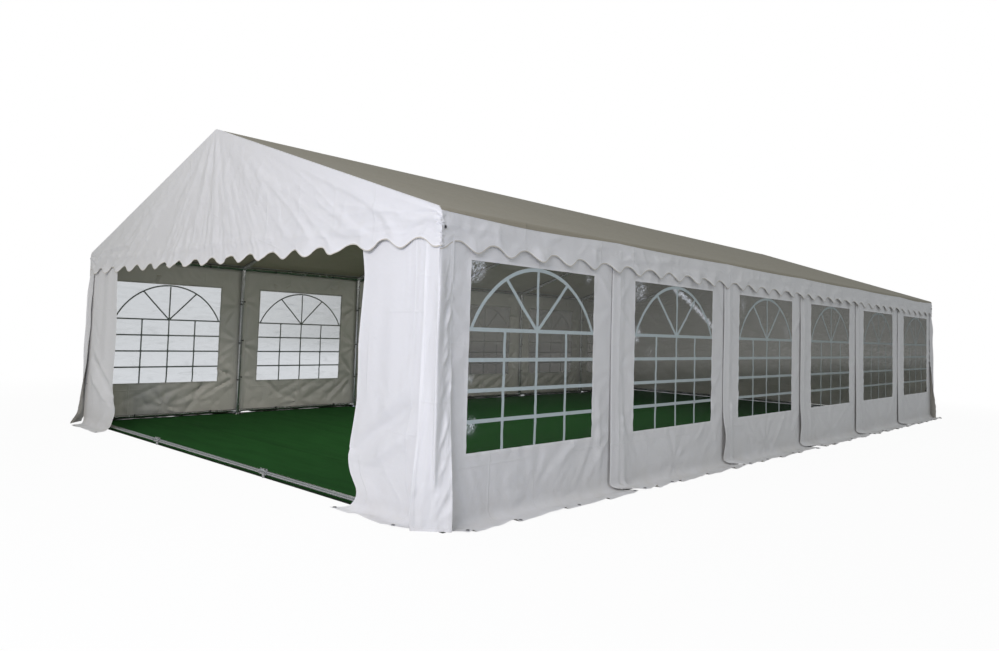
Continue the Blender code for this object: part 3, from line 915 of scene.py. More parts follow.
def roof_height(x):
    """A cross-section with a small round at the ridge."""
    return RIDGE - np.sqrt(x * x + RIDGE_ROUND**2) * SLOPE + 0.0015 * np.exp(-((x / 0.2) ** 2))


def bay_free(y):
    """0 over a rafter, 1 halfway between two."""
    bay_place = np.abs(np.mod(y + HALF_LENGTH, BAY) / BAY - 0.5) * 2
    return 1 - bay_place**2.2


def roof_sag(x, y):
    free = bay_free(y)
    slope_place = np.abs(x) / HALF_WIDTH
    held = ease(slope_place, 0.0, 0.12) * (1 - ease(slope_place, 0.9, 0.985))
    sag = 0.020 * free * np.sin(np.clip(slope_place, 0, 1) * math.pi) ** 0.6
    drags = 0.0035 * ripples(y, x, 11, 0.42, turn=math.pi / 2, stretch=5)
    small = 0.0016 * crests(y, x, 12, 0.5)
    level = 0.0022 * ripples(y, x, 13, 0.22, stretch=9)
    return held * (sag + (drags - small + level + 0.004) * (0.25 + 0.75 * free))


def roof_cover_points():
    slope_stop = SLOPE_LENGTH - ROOF_RUN
    inner = steps(-slope_stop, -0.05, 0.05, slope_stop, cell=0.075)
    turn_share = np.linspace(0, 1, 8)[1:]
    share = np.concatenate([-turn_share[::-1], inner * 0, turn_share])
    length = np.concatenate([np.full(7, -slope_stop), inner, np.full(7, slope_stop)])
    along = steps(-HALF_LENGTH, HALF_LENGTH, cell=0.05)
    share, y = np.meshgrid(share, along)
    length = np.meshgrid(length, along)[0]
    side = np.sign(length)
    dip = 0.4 + 0.6 * bump(np.abs(y), 5.1, 0.8)
    edge = ROOF_RUN + 0.012 + 0.022 * bay_free(y) * dip
    v = np.abs(share) * edge
    reach, height, out, rise = follow(v, EAVE_CURVE)
    x = length / math.hypot(1, SLOPE)
    z = roof_height(x) - roof_sag(x, y)
    proud = 0.0014
    x = np.where(share == 0, x, side * (reach + proud * out))
    z = np.where(share == 0, z + proud, height + proud * rise)
    cut = stacked(y, length + side * v)
    hem = np.minimum(HALF_LENGTH - np.abs(y), slope_stop + edge - np.abs(length) - v)
    return stacked(x, y, z), cut, hem


points, cut, hem = roof_cover_points()
roof_cover = make_sheet("roof_cover", points, cut, hem, (0, 0, 1), (roof_outside, roof_inside))
dress(
    roof_cover,
    ["roof_left", "roof_right"],
)
print("roof cover:", len(roof_cover.data.polygons), "faces")

# %% [markdown]
# ## Scallops
#
# The lower edge of the gables and the valance is cut in a row of waves, three to a metre. The solids have
# them as a formula, and the cloth uses the same one with more points. On the real cloth the lobes curl in
# and out a little.

# %% Scallop formula
def scallop_edge(lobe_place, tip=VALANCE_TIP):
    """Height of the cut edge; each whole lobe_place is the tip of a lobe."""
    lobe = (0.5 + 0.5 * np.cos(2 * math.pi * lobe_place)) ** 1.25
    return tip + SCALLOP_DEPTH * (1 - lobe)


def lobe_curl(lobe_place, seed):
    """How far each lobe stands out, from lobe to lobe; one flank curls more than the other."""
    random = np.random.default_rng(seed)
    heights = random.uniform(0.004, 0.030, 60)
    lean = random.uniform(-0.2, 0.55, 60)
    nearest = np.clip(np.round(lobe_place).astype(int), 0, 59)
    shifted = np.clip(lobe_place - nearest + 0.3 * lean[nearest], -0.5, 0.5)
    return heights[nearest] * (0.5 + 0.5 * np.cos(2 * math.pi * shifted)) ** 1.2


print("scallop tip at", round(VALANCE_TIP, 3))

# %% [markdown]
# ## The valance
#
# Along each eave a white cloth is sewn under the edge of the roof, turns over the eave with it and hangs
# in front of the walls. Rows of the grid run over that turn, so the eave is round and not a sharp box.


def valance_sheet(name, side, seed):
    along = steps(-HALF_LENGTH, HALF_LENGTH, cell=1 / 48)
    rows = np.concatenate([np.linspace(0, 0.999, 8), np.linspace(1, 2, 14)])
    row, place = np.meshgrid(rows, along, indexing="ij")
    lobe_place = (place + HALF_LENGTH) / SCALLOP_PITCH
    low = scallop_edge(lobe_place)
    v = np.where(row < 1, row * TURN_END, TURN_END + (row - 1) * (TURN_LOW - low))
    reach, height, out, rise = follow(v, EAVE_CURVE)
    fall = np.maximum(v - TURN_END, 0)
    waves = 0.0035 * crests(place, fall, seed, 0.3)
    waves += 0.0045 * ripples(place, fall, seed + 1, 0.5, turn=math.pi / 2)
    level = 0.004 * ripples(place, fall, seed + 4, 0.09, stretch=12) * bump(fall, 0.10, 0.07)
    end_lumps = 0.008 * crests(fall, place * 0, seed + 5, 0.07) * bump(np.abs(place), HALF_LENGTH, 0.035)
    curl = lobe_curl(lobe_place, seed + 2) * ease(fall, 0.10, 0.24)
    free = ease(HALF_LENGTH - np.abs(place), 0.02, 0.10)
    relief = np.maximum(waves + level + end_lumps + 0.003, -0.003)
    lift = ease(fall, 0.0, 0.07) * free * relief + curl * free
    x = side * (reach + lift * out)
    z = height + lift * rise
    hem = np.where(row < 1, 1.0, height - low)
    cut = stacked(place, v)
    points = stacked(x, place, z)
    return make_sheet(name, points, cut, hem, (side, 0, 0.3), WHITE_CLOTH, marks={"bound": 1.0})


for label, side, seed in (("left", -1, 31), ("right", 1, 41)):
    valance = valance_sheet(f"{label}_valance_cloth", side, seed)
    dress(
        valance, [f"{label}_valance"],
    )
    print(valance.name, len(valance.data.polygons), "faces")

# %% [markdown]
# ## The gables
#
# A gable is a triangle of cloth with the same scallops. It is sewn to the roof along the rake and pulled
# at the apex, so crisp pleats fan out from there, and more run in from the corners. Its ends wrap round
# the corner and are sewn to the valance in a lumpy seam. The rows of the grid run from the rake to the
# scallops, and the columns stay upright.

# %% Gables
CORNER_WRAP = 0.040
RAKE_BAND = 0.02
GABLE_TIP = VALANCE_TIP + 0.013
FRONT_LOBES = ((-3.0, 0.43), (1.883, 15.0), (2.306, 16.0), (2.628, 17.0), (2.969, 18.0), (3.0, 18.1))
BACK_LOBES = ((-3.0, 0.0), (3.0, 18.0))


def rake_height(x):
    """The gable's upper edge, which bends down with the roof at the eave."""
    arc_start = HALF_WIDTH - TURN_RADIUS * (1 - math.sin(math.atan(SLOPE)))
    inside = np.clip(np.abs(x) - (HALF_WIDTH - TURN_RADIUS), 0, TURN_RADIUS)
    arc = TURN_LOW + np.sqrt(TURN_RADIUS**2 - inside**2)
    return np.where(np.abs(x) > arc_start, arc, roof_height(x))


def gable_relief(x, z, fall, seed):
    drop = RIDGE + 0.12 - z
    from_apex = np.hypot(x, drop)
    angle = np.arctan2(x, drop)
    pleats = (0.0014 + 0.0025 * from_apex) * crests(angle * 1.7, from_apex * 0.09, seed, 0.17)
    soft = 0.006 * ripples(angle * 1.7, from_apex * 0.15, seed + 1, 0.42, waves=7)
    crumples = 0.0030 * crests(x, z, seed + 2, 0.42)
    relief = (pleats + soft + crumples) * ease(fall, 0.015, 0.2)
    random = np.random.default_rng(seed)
    for side in (-1, 1):
        relief += 0.013 * star(x, z, (side * 2.99, 1.97), 0.30, 11, 1.3 + side) * ease(fall, 0.0, 0.05)
        for _ in range(9):
            start = (side * 2.97, random.uniform(1.84, 1.99))
            end = (side * random.uniform(0.9, 2.5), random.uniform(1.90, 2.35))
            relief += chance_drag(random, x, z, start, end, (-0.008, 0.010), (0.014, 0.03))
    sill = 0.010 * bump(z, 1.925 + 0.012 * np.sin(2.2 * x + seed), 0.028)
    low_waves = 0.004 * ripples(x, z, seed + 3, 0.13, stretch=4, turn=0.3) * bump(z, 1.9, 0.1)
    return relief + (sill + low_waves) * ease(fall, 0.0, 0.1)


def gable_sheet(name, side, lobes, seed):
    reach = HALF_WIDTH + CORNER_WRAP
    near = HALF_WIDTH - 0.05
    along = steps(-reach, -HALF_WIDTH, -near, near, HALF_WIDTH, reach, cell=1 / 50)
    down = np.concatenate([[-RAKE_BAND, -RAKE_BAND / 2], np.linspace(0, 1, 49)])
    share, place = np.meshgrid(down, along, indexing="ij")
    x = np.clip(place, -HALF_WIDTH, HALF_WIDTH)
    wrapped = np.abs(place) - np.abs(x)
    lobe_place = np.interp(x, [knot[0] for knot in lobes], [knot[1] for knot in lobes])
    raised = 0.014 * bump(x, 2.5, 0.28) if side < 0 else 0.0
    top = rake_height(x) + 0.0026
    low = scallop_edge(lobe_place, GABLE_TIP + raised)
    fall = np.clip(share, 0, 1) * (top - low)
    z = top - fall
    on_roof = np.clip(-share, 0, 1)
    near_corner = 1 - ease(HALF_WIDTH - np.abs(x), 0.0, 0.025)
    curl = lobe_curl(lobe_place, seed + 5) * ease(fall / (top - low), 0.5, 1.0) * ease(1.9 - z, 0.0, 0.14)
    relief = np.maximum(gable_relief(x, z, fall, seed) + 0.003, -0.004)
    lumps = 0.008 * (crests(z, x * 0, seed + 6, 0.06) + 0.4) * bump(np.abs(place), HALF_WIDTH, 0.024)
    lumps = np.clip(lumps, -0.001, 0.009) * ease(fall, 0.0, 0.05)
    out = 0.0015 + (1 - near_corner) * relief + lumps + curl * (1 - near_corner)
    uneven = 0.72 + 0.28 * np.clip(ripples(z, x * 0, seed + 8, 0.05, waves=5), -1, 1)
    stands = np.where(wrapped > 0, 0.0015, out)
    y = side * (HALF_LENGTH - on_roof + stands - wrapped * uneven)
    y = y - side * 0.010 * near_corner**2 * ease(fall, 0.0, 0.03)
    tight = 1 - 0.9 * wrapped / CORNER_WRAP
    sideways = np.where(wrapped > 0, (0.005 + lumps) * tight, (0.002 + lumps) * near_corner)
    z = np.where(on_roof > 0, top + 0.0004, z)
    hem = np.where(share <= 0, 1.0, np.minimum(z - low, fall + RAKE_BAND))
    hem = hem + 0.05 * (wrapped > 0)
    points = stacked(x + np.sign(place) * sideways, y, z)
    cut = stacked(place, fall - on_roof)
    return make_sheet(name, points, cut, hem, (0, side, 0), WHITE_CLOTH, marks={"bound": 1.0})


for label, side, lobes, seed in (("front", -1, FRONT_LOBES, 51), ("back", 1, BACK_LOBES, 61)):
    gable = gable_sheet(f"{label}_gable_cloth", side, lobes, seed)
    dress(
        gable,
        [f"{label}_gable"],
    )
    print(gable.name, len(gable.data.polygons), "faces")

# %% [markdown]
# ## Relief of the side walls
#
# Each panel has its own folds, from its own seed: long soft waves, drags from the lower corners of the
# window down to the ties at the ground bar, stars at the ties of the posts, and puckers beside the welded
# window. The left side, which the doorway shows from inside, hangs slacker: long folds run down from its
# far posts and short ones from its top edge. Near the posts the cloth lies flat, so the relief fades
# there. The window film asks the same formula for its place, which keeps it welded to the wall.

# %% Wall relief
GROUND_TIE = 1.80
POST_TIES = (0.42, 0.95, 1.45)
WINDOW_TOP_V = WALL_TOP - WINDOW_HIGH
WINDOW_LOW_V = WALL_TOP - WINDOW_LOW
FOLD_DEPTH = {-1: 3.0, 1: 1.2}


def beside_window(s, v):
    """Distance outside the window's edge, negative inside it."""
    return np.maximum(np.abs(s) - WINDOW_HALF, np.maximum(WINDOW_TOP_V - v, v - WINDOW_LOW_V))


def wall_relief(side, s, v, seed):
    """Folds of a side wall; the sunless left side hangs slacker than the right one."""
    random = np.random.default_rng(seed)
    inner = 1 - ease(np.abs(s), 0.86, 0.99)
    lower = ease(v, 1.35, 1.75)
    beside = beside_window(s, v)
    calm = 0.38 + 0.62 * ease(beside, -0.02, 0.07)
    relief = 0.0020 * ripples(s, v, seed, 0.5, turn=math.pi / 2, stretch=3.0)
    relief += 0.0016 * crests(s, v, seed + 1, 0.30) * (0.4 + 0.6 * lower)
    relief += 0.0012 * lower * ripples(s, v, seed + 2, 0.34, turn=math.pi / 2, stretch=3.0)
    relief += 0.0010 * lower * crests(s, v, seed + 3, 0.10, stretch=2.6)
    if side < 0:
        for start_v, stop_s in ((1.06, -0.80), (1.20, -0.35), (1.32, 0.05), (1.42, 0.34), (1.55, 0.58)):
            stop = (stop_s + random.uniform(-0.08, 0.08), 1.84)
            relief += chance_drag(random, s, v, (0.95, start_v), stop, (0.006, 0.010), (0.018, 0.034))
        for _ in range(10):
            hung_at = random.uniform(-0.9, 0.9)
            stop = (hung_at + random.uniform(-0.14, 0.14), random.uniform(0.13, 0.24))
            relief += chance_drag(random, s, v, (hung_at, 0.02), stop, (-0.006, 0.016), (0.012, 0.024))
    for end in (-1, 1):
        for _ in range(9 if side > 0 else 3):
            start = (end * random.uniform(0.66, 0.97), random.uniform(1.10, 1.52))
            stop = (end * random.uniform(0.0, 0.9), random.uniform(1.74, 1.92))
            relief += chance_drag(random, s, v, start, stop, (-0.006, 0.013), (0.010, 0.026))
        for tie in POST_TIES:
            at = (end * 0.97, tie + random.uniform(-0.05, 0.05))
            relief += 0.009 * star(s, v, at, 0.15, 7, seed + tie)
            for _ in range(3):
                start = (end * 0.98, tie)
                stop = (end * random.uniform(0.60, 0.8), tie + random.uniform(-0.35, 0.45))
                relief += chance_drag(random, s, v, start, stop, (-0.004, 0.012), (0.009, 0.018))
    relief += 0.010 * star(s, v, (0.0, GROUND_TIE), 0.22, 8, seed)
    relief = relief * calm * FOLD_DEPTH[side]
    relief += 0.0022 * ripples(s, v, seed + 4, 0.12) * bump(beside, 0.03, 0.035)
    relief += 0.008 * np.cos(s * math.pi / 2) * random.uniform(0.3, 1.3)
    deepest = (0.003 + 0.017 * ease(v, 0.10, 0.35) * (1 - ease(v, 1.5, 1.68))) * (0.1 + inner)
    return np.maximum(relief * (0.10 + 0.90 * inner), -deepest) + 0.001


def flap_step(s, seed):
    """Rises from 0 to 1 along half a metre of flap, then starts again."""
    return np.mod(s / 0.52 + 0.37 * seed, 1.0)


def flap_relief(s, v, seed):
    """The flap buckles in long low steps and never sinks into the ground."""
    outer = ease(v, FLAP_START - 0.04, WALL_LENGTH)
    waves = ripples(s, v * 0.5, seed + 5, 0.22, waves=6)
    return outer * (0.003 + 0.017 * flap_step(s, seed) ** 1.3 + 0.003 * np.maximum(waves, -1))


# how far the laps of two panels stand open near the ground
GAPES = {3: 0.028, 4: 0.016}


def lap_lift(number, s, v, seed):
    """The near edge of a panel lies over its neighbour and stands off, most near the ground."""
    low = ease(v, 1.0, 1.8)
    near = 1 - ease(s, -0.905 + 0.05 * low, -0.86 + 0.09 * low)
    lip = 0.004 * (1 - ease(s, -1.06, -1.0))
    swell = 0.5 + 0.5 * np.sin(2.9 * v + 1.7 * seed)
    gape = GAPES.get(number, 0.0) * bump(v, 1.66, 0.15) * (1 - ease(s, -1.06, -0.90))
    pleat = 0.003 * np.sin((s + 1.055) * 2 * math.pi / 0.085) * ease(s, -1.05, -1.0)
    return near * (0.011 + 0.007 * swell * ease(v, 0.2, 0.6) + 0.006 * low - lip + pleat + gape)


def wall_surface(side, number, s, v, seed):
    """World points on the outer face of a side panel; s runs from -1 to 1 between its two posts."""
    reach, height, out, rise = follow(v, WALL_CURVE)
    upright = 1 - ease(v, FLAP_START - 0.10, FLAP_START + 0.02)
    relief = upright * wall_relief(side, s, v, seed) + flap_relief(s, v, seed)
    lapped = lap_lift(number, s, v, seed) if number > 1 else 0.0
    relief = relief + lapped * (1 - 0.8 * ease(v, FLAP_START - 0.05, WALL_LENGTH))
    on_ground = ease(v, FLAP_START - 0.10, WALL_LENGTH)
    waves = ripples(s, s * 0, seed + 6, 0.5, waves=4)
    edge = on_ground * (0.006 * waves - 0.020 - 0.010 * flap_step(s, seed))
    near_trim = 0.25 if number > 1 else 0.11
    far_trim = 0.03 if number < BAYS else -0.11
    moved_along = on_ground * (near_trim * (1 - ease(s, -1.05, -0.4)) + far_trim * ease(s, 0.5, 1.1))
    y = -HALF_LENGTH + (number - 0.5) * BAY + (s + moved_along) * BAY / 2
    x = side * (WALL_FACE + reach + relief * out + edge)
    return stacked(x, y, np.maximum(height + relief * rise, LOWEST))


print("relief ready")

# %% [markdown]
# ## The side walls
#
# Six panels a side, each a cloth with a window hole. Each panel is wider than its bay: its near edge lies
# over the panel before it and stands off a little, its far edge runs on behind the next one. The corners
# of the flap are cut back, so a gap opens between two flaps. A welded border runs round the hole, so the
# grid has a row of points on both edges of that border and stands a little proud there.

# %% Side walls
NEAR_LAP = 0.055
FAR_LAP = 0.09
BORDER = 0.03


def panel_reach(number):
    """Where the panel starts and ends along its bay; the end panels stop at the corner strips."""
    start = -0.96 if number == 1 else -1.0 - NEAR_LAP
    end = 0.96 if number == BAYS else 1.0 + FAR_LAP
    return start, end


def side_panel(label, side, number, seed):
    start, end = panel_reach(number)
    hole = (-WINDOW_HALF - BORDER, -WINDOW_HALF, WINDOW_HALF, WINDOW_HALF + BORDER)
    across = steps(start, *hole, end, cell=0.024)
    frame_rows = (WINDOW_TOP_V - BORDER, WINDOW_TOP_V, WINDOW_LOW_V, WINDOW_LOW_V + BORDER)
    down = steps(0, *frame_rows, WALL_LENGTH, cell=0.024)
    v, s = np.meshgrid(down, across, indexing="ij")
    beside = beside_window(s, v)
    points = wall_surface(side, number, s, v, seed)
    border = (1 - ease(beside, BORDER - 0.006, BORDER)) * (beside > -1e-6)
    points[..., 0] += side * 0.0009 * border
    hem = np.minimum(np.minimum(s - start, end - s), np.minimum(v, WALL_LENGTH - v))
    hem = np.minimum(hem, np.maximum(beside, 0))
    middle_s = np.abs(s[:-1, :-1] + s[1:, 1:]) / 2
    middle_v = (v[:-1, :-1] + v[1:, 1:]) / 2
    keep = ~((middle_s < WINDOW_HALF) & (middle_v > WINDOW_TOP_V) & (middle_v < WINDOW_LOW_V))
    cut = stacked(s + 16 * PACKED_ACROSS * number, v)
    panel = make_sheet(
        f"{label}_wall_cloth_{number}", points, cut, hem, (side, 0, 0.2), WHITE_CLOTH, keep
    )
    dress(
        panel,
        [f"{label}_wall_{number}"],
    )
    return panel


def wall_seed(side, number):
    return 100 + 10 * number + (500 if side < 0 else 0)


faces = 0
for label, side in SIDES:
    for number in range(1, BAYS + 1):
        faces += len(side_panel(label, side, number, wall_seed(side, number)).data.polygons)
print("side walls:", faces, "faces")

# %% [markdown]
# ## The window films
#
# The film is a separate clear sheet, welded to the inner side of the cloth round the hole. It follows the
# wall at its border and is nearly flat inside. Its glints are painted along fine creases, most of them near
# the corners, where the cloth pulls. Each vertex carries how strong the painted glints are there and two
# distances, across and along the creases, which the material draws the fine lines from.

# %% Window films
FILM_LAP = 0.02


def film_point(side, number, s, z, lift=0.0):
    """A point on the outer face of the film, s along the bay and z high."""
    seed = wall_seed(side, number)
    inside = np.minimum(WINDOW_HALF - np.abs(s), np.minimum(WINDOW_HIGH - z, z - WINDOW_LOW))
    free = ease(inside, 0.0, 0.12)
    creases = 0.0010 * crests(s, z, seed + 6, 0.30) + 0.0008 * ripples(s, z, seed + 7, 0.2)
    for corner, (at_s, at_z) in enumerate(((-0.7, 1.69), (0.7, 1.69), (-0.7, 0.45), (0.7, 0.45))):
        creases = creases + 0.003 * star(s, z, (at_s, at_z), 0.2, 11, seed + corner)
    relief = wall_relief(side, s, WALL_TOP - z, seed) + free * creases - CLOTH - 0.0012 + lift
    x = side * (WALL_FACE + relief)
    y = -HALF_LENGTH + (number - 0.5) * BAY + s
    return stacked(x, y, z)


# place along and height, reach, strength and turn of each spot of painted glints, by window
GLINT_SPOTS = {
    1: ((-0.67, 1.67, 0.12, 1.1, 0.9), (-0.68, 0.92, 0.04, 0.8, 1.2), (-0.66, 0.62, 0.07, 0.9, 1.0),
        (0.62, 1.66, 0.07, 0.5, -0.8), (0.05, 1.69, 0.04, 0.6, 0.0)),
    2: ((-0.62, 1.62, 0.13, 0.75, 0.9), (-0.66, 1.25, 0.09, 0.8, 0.6), (-0.45, 1.10, 0.12, 0.4, 0.5),
        (-0.3, 0.75, 0.25, 0.28, -0.3), (0.45, 0.62, 0.22, 0.25, -0.3)),
    3: ((0.55, 1.35, 0.14, 0.45, -0.5), (-0.6, 1.6, 0.12, 0.5, 0.8), (0.5, 0.7, 0.2, 0.3, -0.4)),
}


def film_crease_glints(side, number, s, z):
    """How strong the painted glints on the film are, with the distances across and along its creases."""
    random = np.random.default_rng(wall_seed(side, number) + 9)
    spots = GLINT_SPOTS.get(number) if side > 0 else None
    if spots is None:
        spots = [
            (random.choice((-1, 1)) * random.uniform(0.2, 0.66), random.uniform(0.5, 1.65),
             random.uniform(0.08, 0.2), random.uniform(0.1, 0.35), random.uniform(-1, 1))
            for _ in range(5)
        ]
    strength = np.zeros(s.shape) + 0.03
    turned = np.zeros(s.shape)
    weight = np.zeros(s.shape) + 1e-3
    for at_s, at_z, reach, power, turn in spots:
        near = np.exp(-(((s - at_s) ** 2 + (z - at_z) ** 2) / reach**2))
        strength = np.maximum(strength, power * near)
        turned += near * turn
        weight += near
    turned = turned / weight
    across = z * np.cos(turned) - s * np.sin(turned)
    along = s * np.cos(turned) + z * np.sin(turned)
    # Painted glare: one bright curved streak of glints across the second window on the right.
    if side > 0 and number == 2:
        bow = 1.655 - 0.44 * np.clip(s + 0.05, 0, 1) ** 1.3
        sweep = np.exp(-(((z - bow) / 0.018) ** 2)) * ease(s, -0.12, 0.02)
        strength = np.maximum(strength, 2.8 * sweep)
        across = np.where(sweep > 0.1, z - bow, across)
        along = np.where(sweep > 0.1, s, along)
    return {"painted_crease_light": strength, "crease_across": across, "crease_along": along}


def film_sheet(label, side, number):
    reach = WINDOW_HALF + FILM_LAP
    across = steps(-reach, reach, cell=0.028)
    upward = steps(WINDOW_LOW - FILM_LAP, WINDOW_HIGH + FILM_LAP, cell=0.028)
    z, s = np.meshgrid(upward, across, indexing="ij")
    points = film_point(side, number, s, z)
    cut = stacked(s + 7.3 * number, z)
    return make_sheet(
        f"{label}_window_film_{number}", points, cut, 1.0, (side, 0, 0), (film_surface,), thickness=FILM,
        marks=film_crease_glints(side, number, s, z),
    )


print("film overlap", FILM_LAP)

# %% [markdown]
# ## The window bars
#
# The bars imitate a glazed arch: a circle segment over four rows of panes, with three uprights and two
# spokes. Each is a wide pale strip welded on the outer face, over a narrower dark core: painted shade,
# which stands for the strip seen from inside against the light and is all one sees of it there. Both follow
# their
# path on the film: their edges are looked up on the film's surface. Crossing strips lie at slightly
# different heights.

# %% Window bars
BAR_WIDTH = 0.026
CORE_WIDTH = 0.017
ARCH_RISE = 0.45
ARCH_BASE = WINDOW_HIGH - ARCH_RISE
ARCH_RADIUS = (WINDOW_HALF**2 + ARCH_RISE**2) / (2 * ARCH_RISE)
ARCH_CENTRE = WINDOW_HIGH - ARCH_RADIUS
PANE_ROWS = 4


def bar_paths():
    """Each strip's points on the window, as (along, height), with its place in the stack."""
    reach = math.asin(WINDOW_HALF / ARCH_RADIUS)
    turn = np.linspace(-reach, reach, 41)
    middle = ARCH_RADIUS - BAR_WIDTH / 2
    paths = [(stacked(middle * np.sin(turn), ARCH_CENTRE + middle * np.cos(turn)), 3)]
    for row in range(PANE_ROWS):
        z = ARCH_BASE - row * (ARCH_BASE - WINDOW_LOW) / PANE_ROWS
        run = steps(-WINDOW_HALF, WINDOW_HALF, cell=0.03)
        paths.append((stacked(run, z), 0))
    for s in (-WINDOW_HALF / 2, 0.0, WINDOW_HALF / 2):
        top = WINDOW_HIGH - BAR_WIDTH if s == 0 else ARCH_BASE
        run = steps(WINDOW_LOW, top, cell=0.03)
        paths.append((stacked(s, run), 1))
    rise = ARCH_BASE - ARCH_CENTRE
    spoke = math.sqrt(ARCH_RADIUS**2 - rise**2 / 2) - rise / math.sqrt(2)
    for lean in (-1, 1):
        run = steps(0.0, spoke - 0.012, cell=0.03) / math.sqrt(2)
        paths.append((stacked(lean * run, ARCH_BASE + run), 2))
    return paths


def ribbon(path, width):
    """Left and right edge points of a strip along the path."""
    heading = np.gradient(path, axis=0)
    heading /= np.linalg.norm(heading, axis=1, keepdims=True)
    normal = stacked(-heading[:, 1], heading[:, 0]) * width / 2
    return path + normal, path - normal


def pale_strip(side, number, path, layer):
    """One row of faces that look outward."""
    left, right_edge = ribbon(path, BAR_WIDTH)
    lift = 0.0017 + 0.0003 * layer
    edges = [film_point(side, number, edge[:, 0], edge[:, 1], lift) for edge in (left, right_edge)]
    ring = np.stack(edges, axis=1).reshape(-1, 3)
    faces = [(2 * k + 2, 2 * k + 3, 2 * k + 1, 2 * k) for k in range(len(path) - 1)]
    return ring, faces


def backlit_shade_core(side, number, path, layer):
    """A closed flat bar under the pale strip, dark as the painted shade of the strip seen from inside."""
    left, right_edge = ribbon(path, CORE_WIDTH)
    low, high = 0.0001, 0.0006
    corners = ((left, low), (right_edge, low), (right_edge, high), (left, high))
    edges = [film_point(side, number, edge[:, 0], edge[:, 1], lift) for edge, lift in corners]
    ring = np.stack(edges, axis=1).reshape(-1, 3)
    faces = [(3, 2, 1, 0)]
    for k in range(len(path) - 1):
        for corner in range(4):
            after = (corner + 1) % 4
            faces.append((4 * k + corner, 4 * k + after, 4 * k + 4 + after, 4 * k + 4 + corner))
    last = 4 * (len(path) - 1)
    faces.append((last, last + 1, last + 2, last + 3))
    return ring, faces


def bar_mesh(label, side, number):
    points, faces, finish = [], [], []
    for index, build in enumerate((pale_strip, backlit_shade_core)):
        for path, layer in bar_paths():
            ring, run = build(side, number, path, layer)
            base = len(points)
            points.extend(ring.tolist())
            faces.extend(tuple(base + corner for corner in face) for face in run)
            finish.extend([index] * len(run))
    if side > 0:
        faces = [face[::-1] for face in faces]
    mesh = bpy.data.meshes.new(f"{label}_window_bars_{number}")
    mesh.from_pydata(points, [], faces)
    made = add_object(mesh.name, mesh, bar_surface, bar_backlit_shade)
    mesh.polygons.foreach_set("material_index", finish)
    return made


film_faces = 0
for label, side in SIDES:
    for number in range(1, BAYS + 1):
        film = film_sheet(label, side, number)
        bars = bar_mesh(label, side, number)
        dress(
            film,
            [f"{label}_window_film"], pieces=[bars],
        )
        film_faces += len(film.data.polygons) + len(bars.data.polygons)
strip_facing = [round(c, 2) for c in bars.data.polygons[0].normal]
print("films and bars:", film_faces, "faces; a strip of the last window looks along", strip_facing)

# %% [markdown]
# ## The curtains beside the doorway
#
# On each side of the open front a narrow cloth hangs from the gable. Its outer edge is tied to the corner
# post and its inner edge is free, so it waves, pulls in above the ground and flares out into a flap.
# The free edge is described by a few offsets at different heights.

# %% Front curtains
END_CLOTH_EDGE = 2.972
CURTAIN_WIDTH = 0.82
RIGHT_EDGE = {
    1.93: 2.200, 1.79: 2.212, 1.60: 2.245, 1.28: 2.222, 1.11: 2.206, 0.755: 2.198, 0.62: 2.175, 0.47: 2.148,
    0.33: 2.135, 0.25: 2.165, 0.19: 2.225, 0.13: 2.290, 0.06: 2.265, 0.0: 2.235,
}
LEFT_EDGE = {
    1.93: 2.200, 1.45: 2.165, 0.89: 2.141, 0.45: 2.125, 0.33: 2.080, 0.26: 2.020, 0.20: 1.995, 0.10: 2.060,
    0.0: 2.16,
}


def free_edge(heights, knots):
    known = sorted(knots)
    return np.interp(heights, known, [knots[k] for k in known])


# depth, start, end and width of each fold of the drape
CURTAIN_DRAGS = (
    (-0.012, (0.20, 1.50), (-0.05, 1.56), 0.016), (-0.008, (0.36, 1.62), (0.00, 1.64), 0.014),
    (-0.048, (0.66, 1.16), (0.02, 1.56), 0.042), (0.030, (0.74, 1.30), (0.12, 1.66), 0.050),
    (0.015, (0.70, 0.98), (0.06, 1.44), 0.040), (-0.007, (0.66, 0.72), (0.46, 0.98), 0.030),
)


def curtain_relief(across, v, share, flap_start, seed):
    """Smooth above, with ribs near the strip; below, one deep drape runs down to the free edge."""
    relief = 0.0030 * ripples(across, v, seed, 0.30, turn=math.pi / 2, stretch=7)
    relief += 0.0018 * crests(across, v, seed + 1, 0.42, turn=1.1, stretch=2.2) * ease(v, 0.5, 1.2)
    ribs = np.sin(across * 2 * math.pi / 0.062 + 0.8 * np.sin(1.3 * v + seed))
    relief += 0.0028 * ribs * bump(share, 0.80, 0.16) * (1 - 0.6 * ease(v, 0.7, 1.4))
    relief += 0.010 * bump(share, 0.0, 0.18) * np.sin(v * 4.1 + seed) * ease(v, 0.2, 0.9)
    relief += 0.022 * bump(v, flap_start - 0.16, 0.14) * bump(share, 0.0, 0.30)
    for depth, start, end, width in CURTAIN_DRAGS:
        relief += depth * drag(across, v, start, end, width)
    relief += 0.005 * star(across, v, (0.80, 1.72), 0.30, 8, seed)
    relief += 0.003 * star(across, v, (0.80, 0.60), 0.22, 7, seed + 1)
    return relief


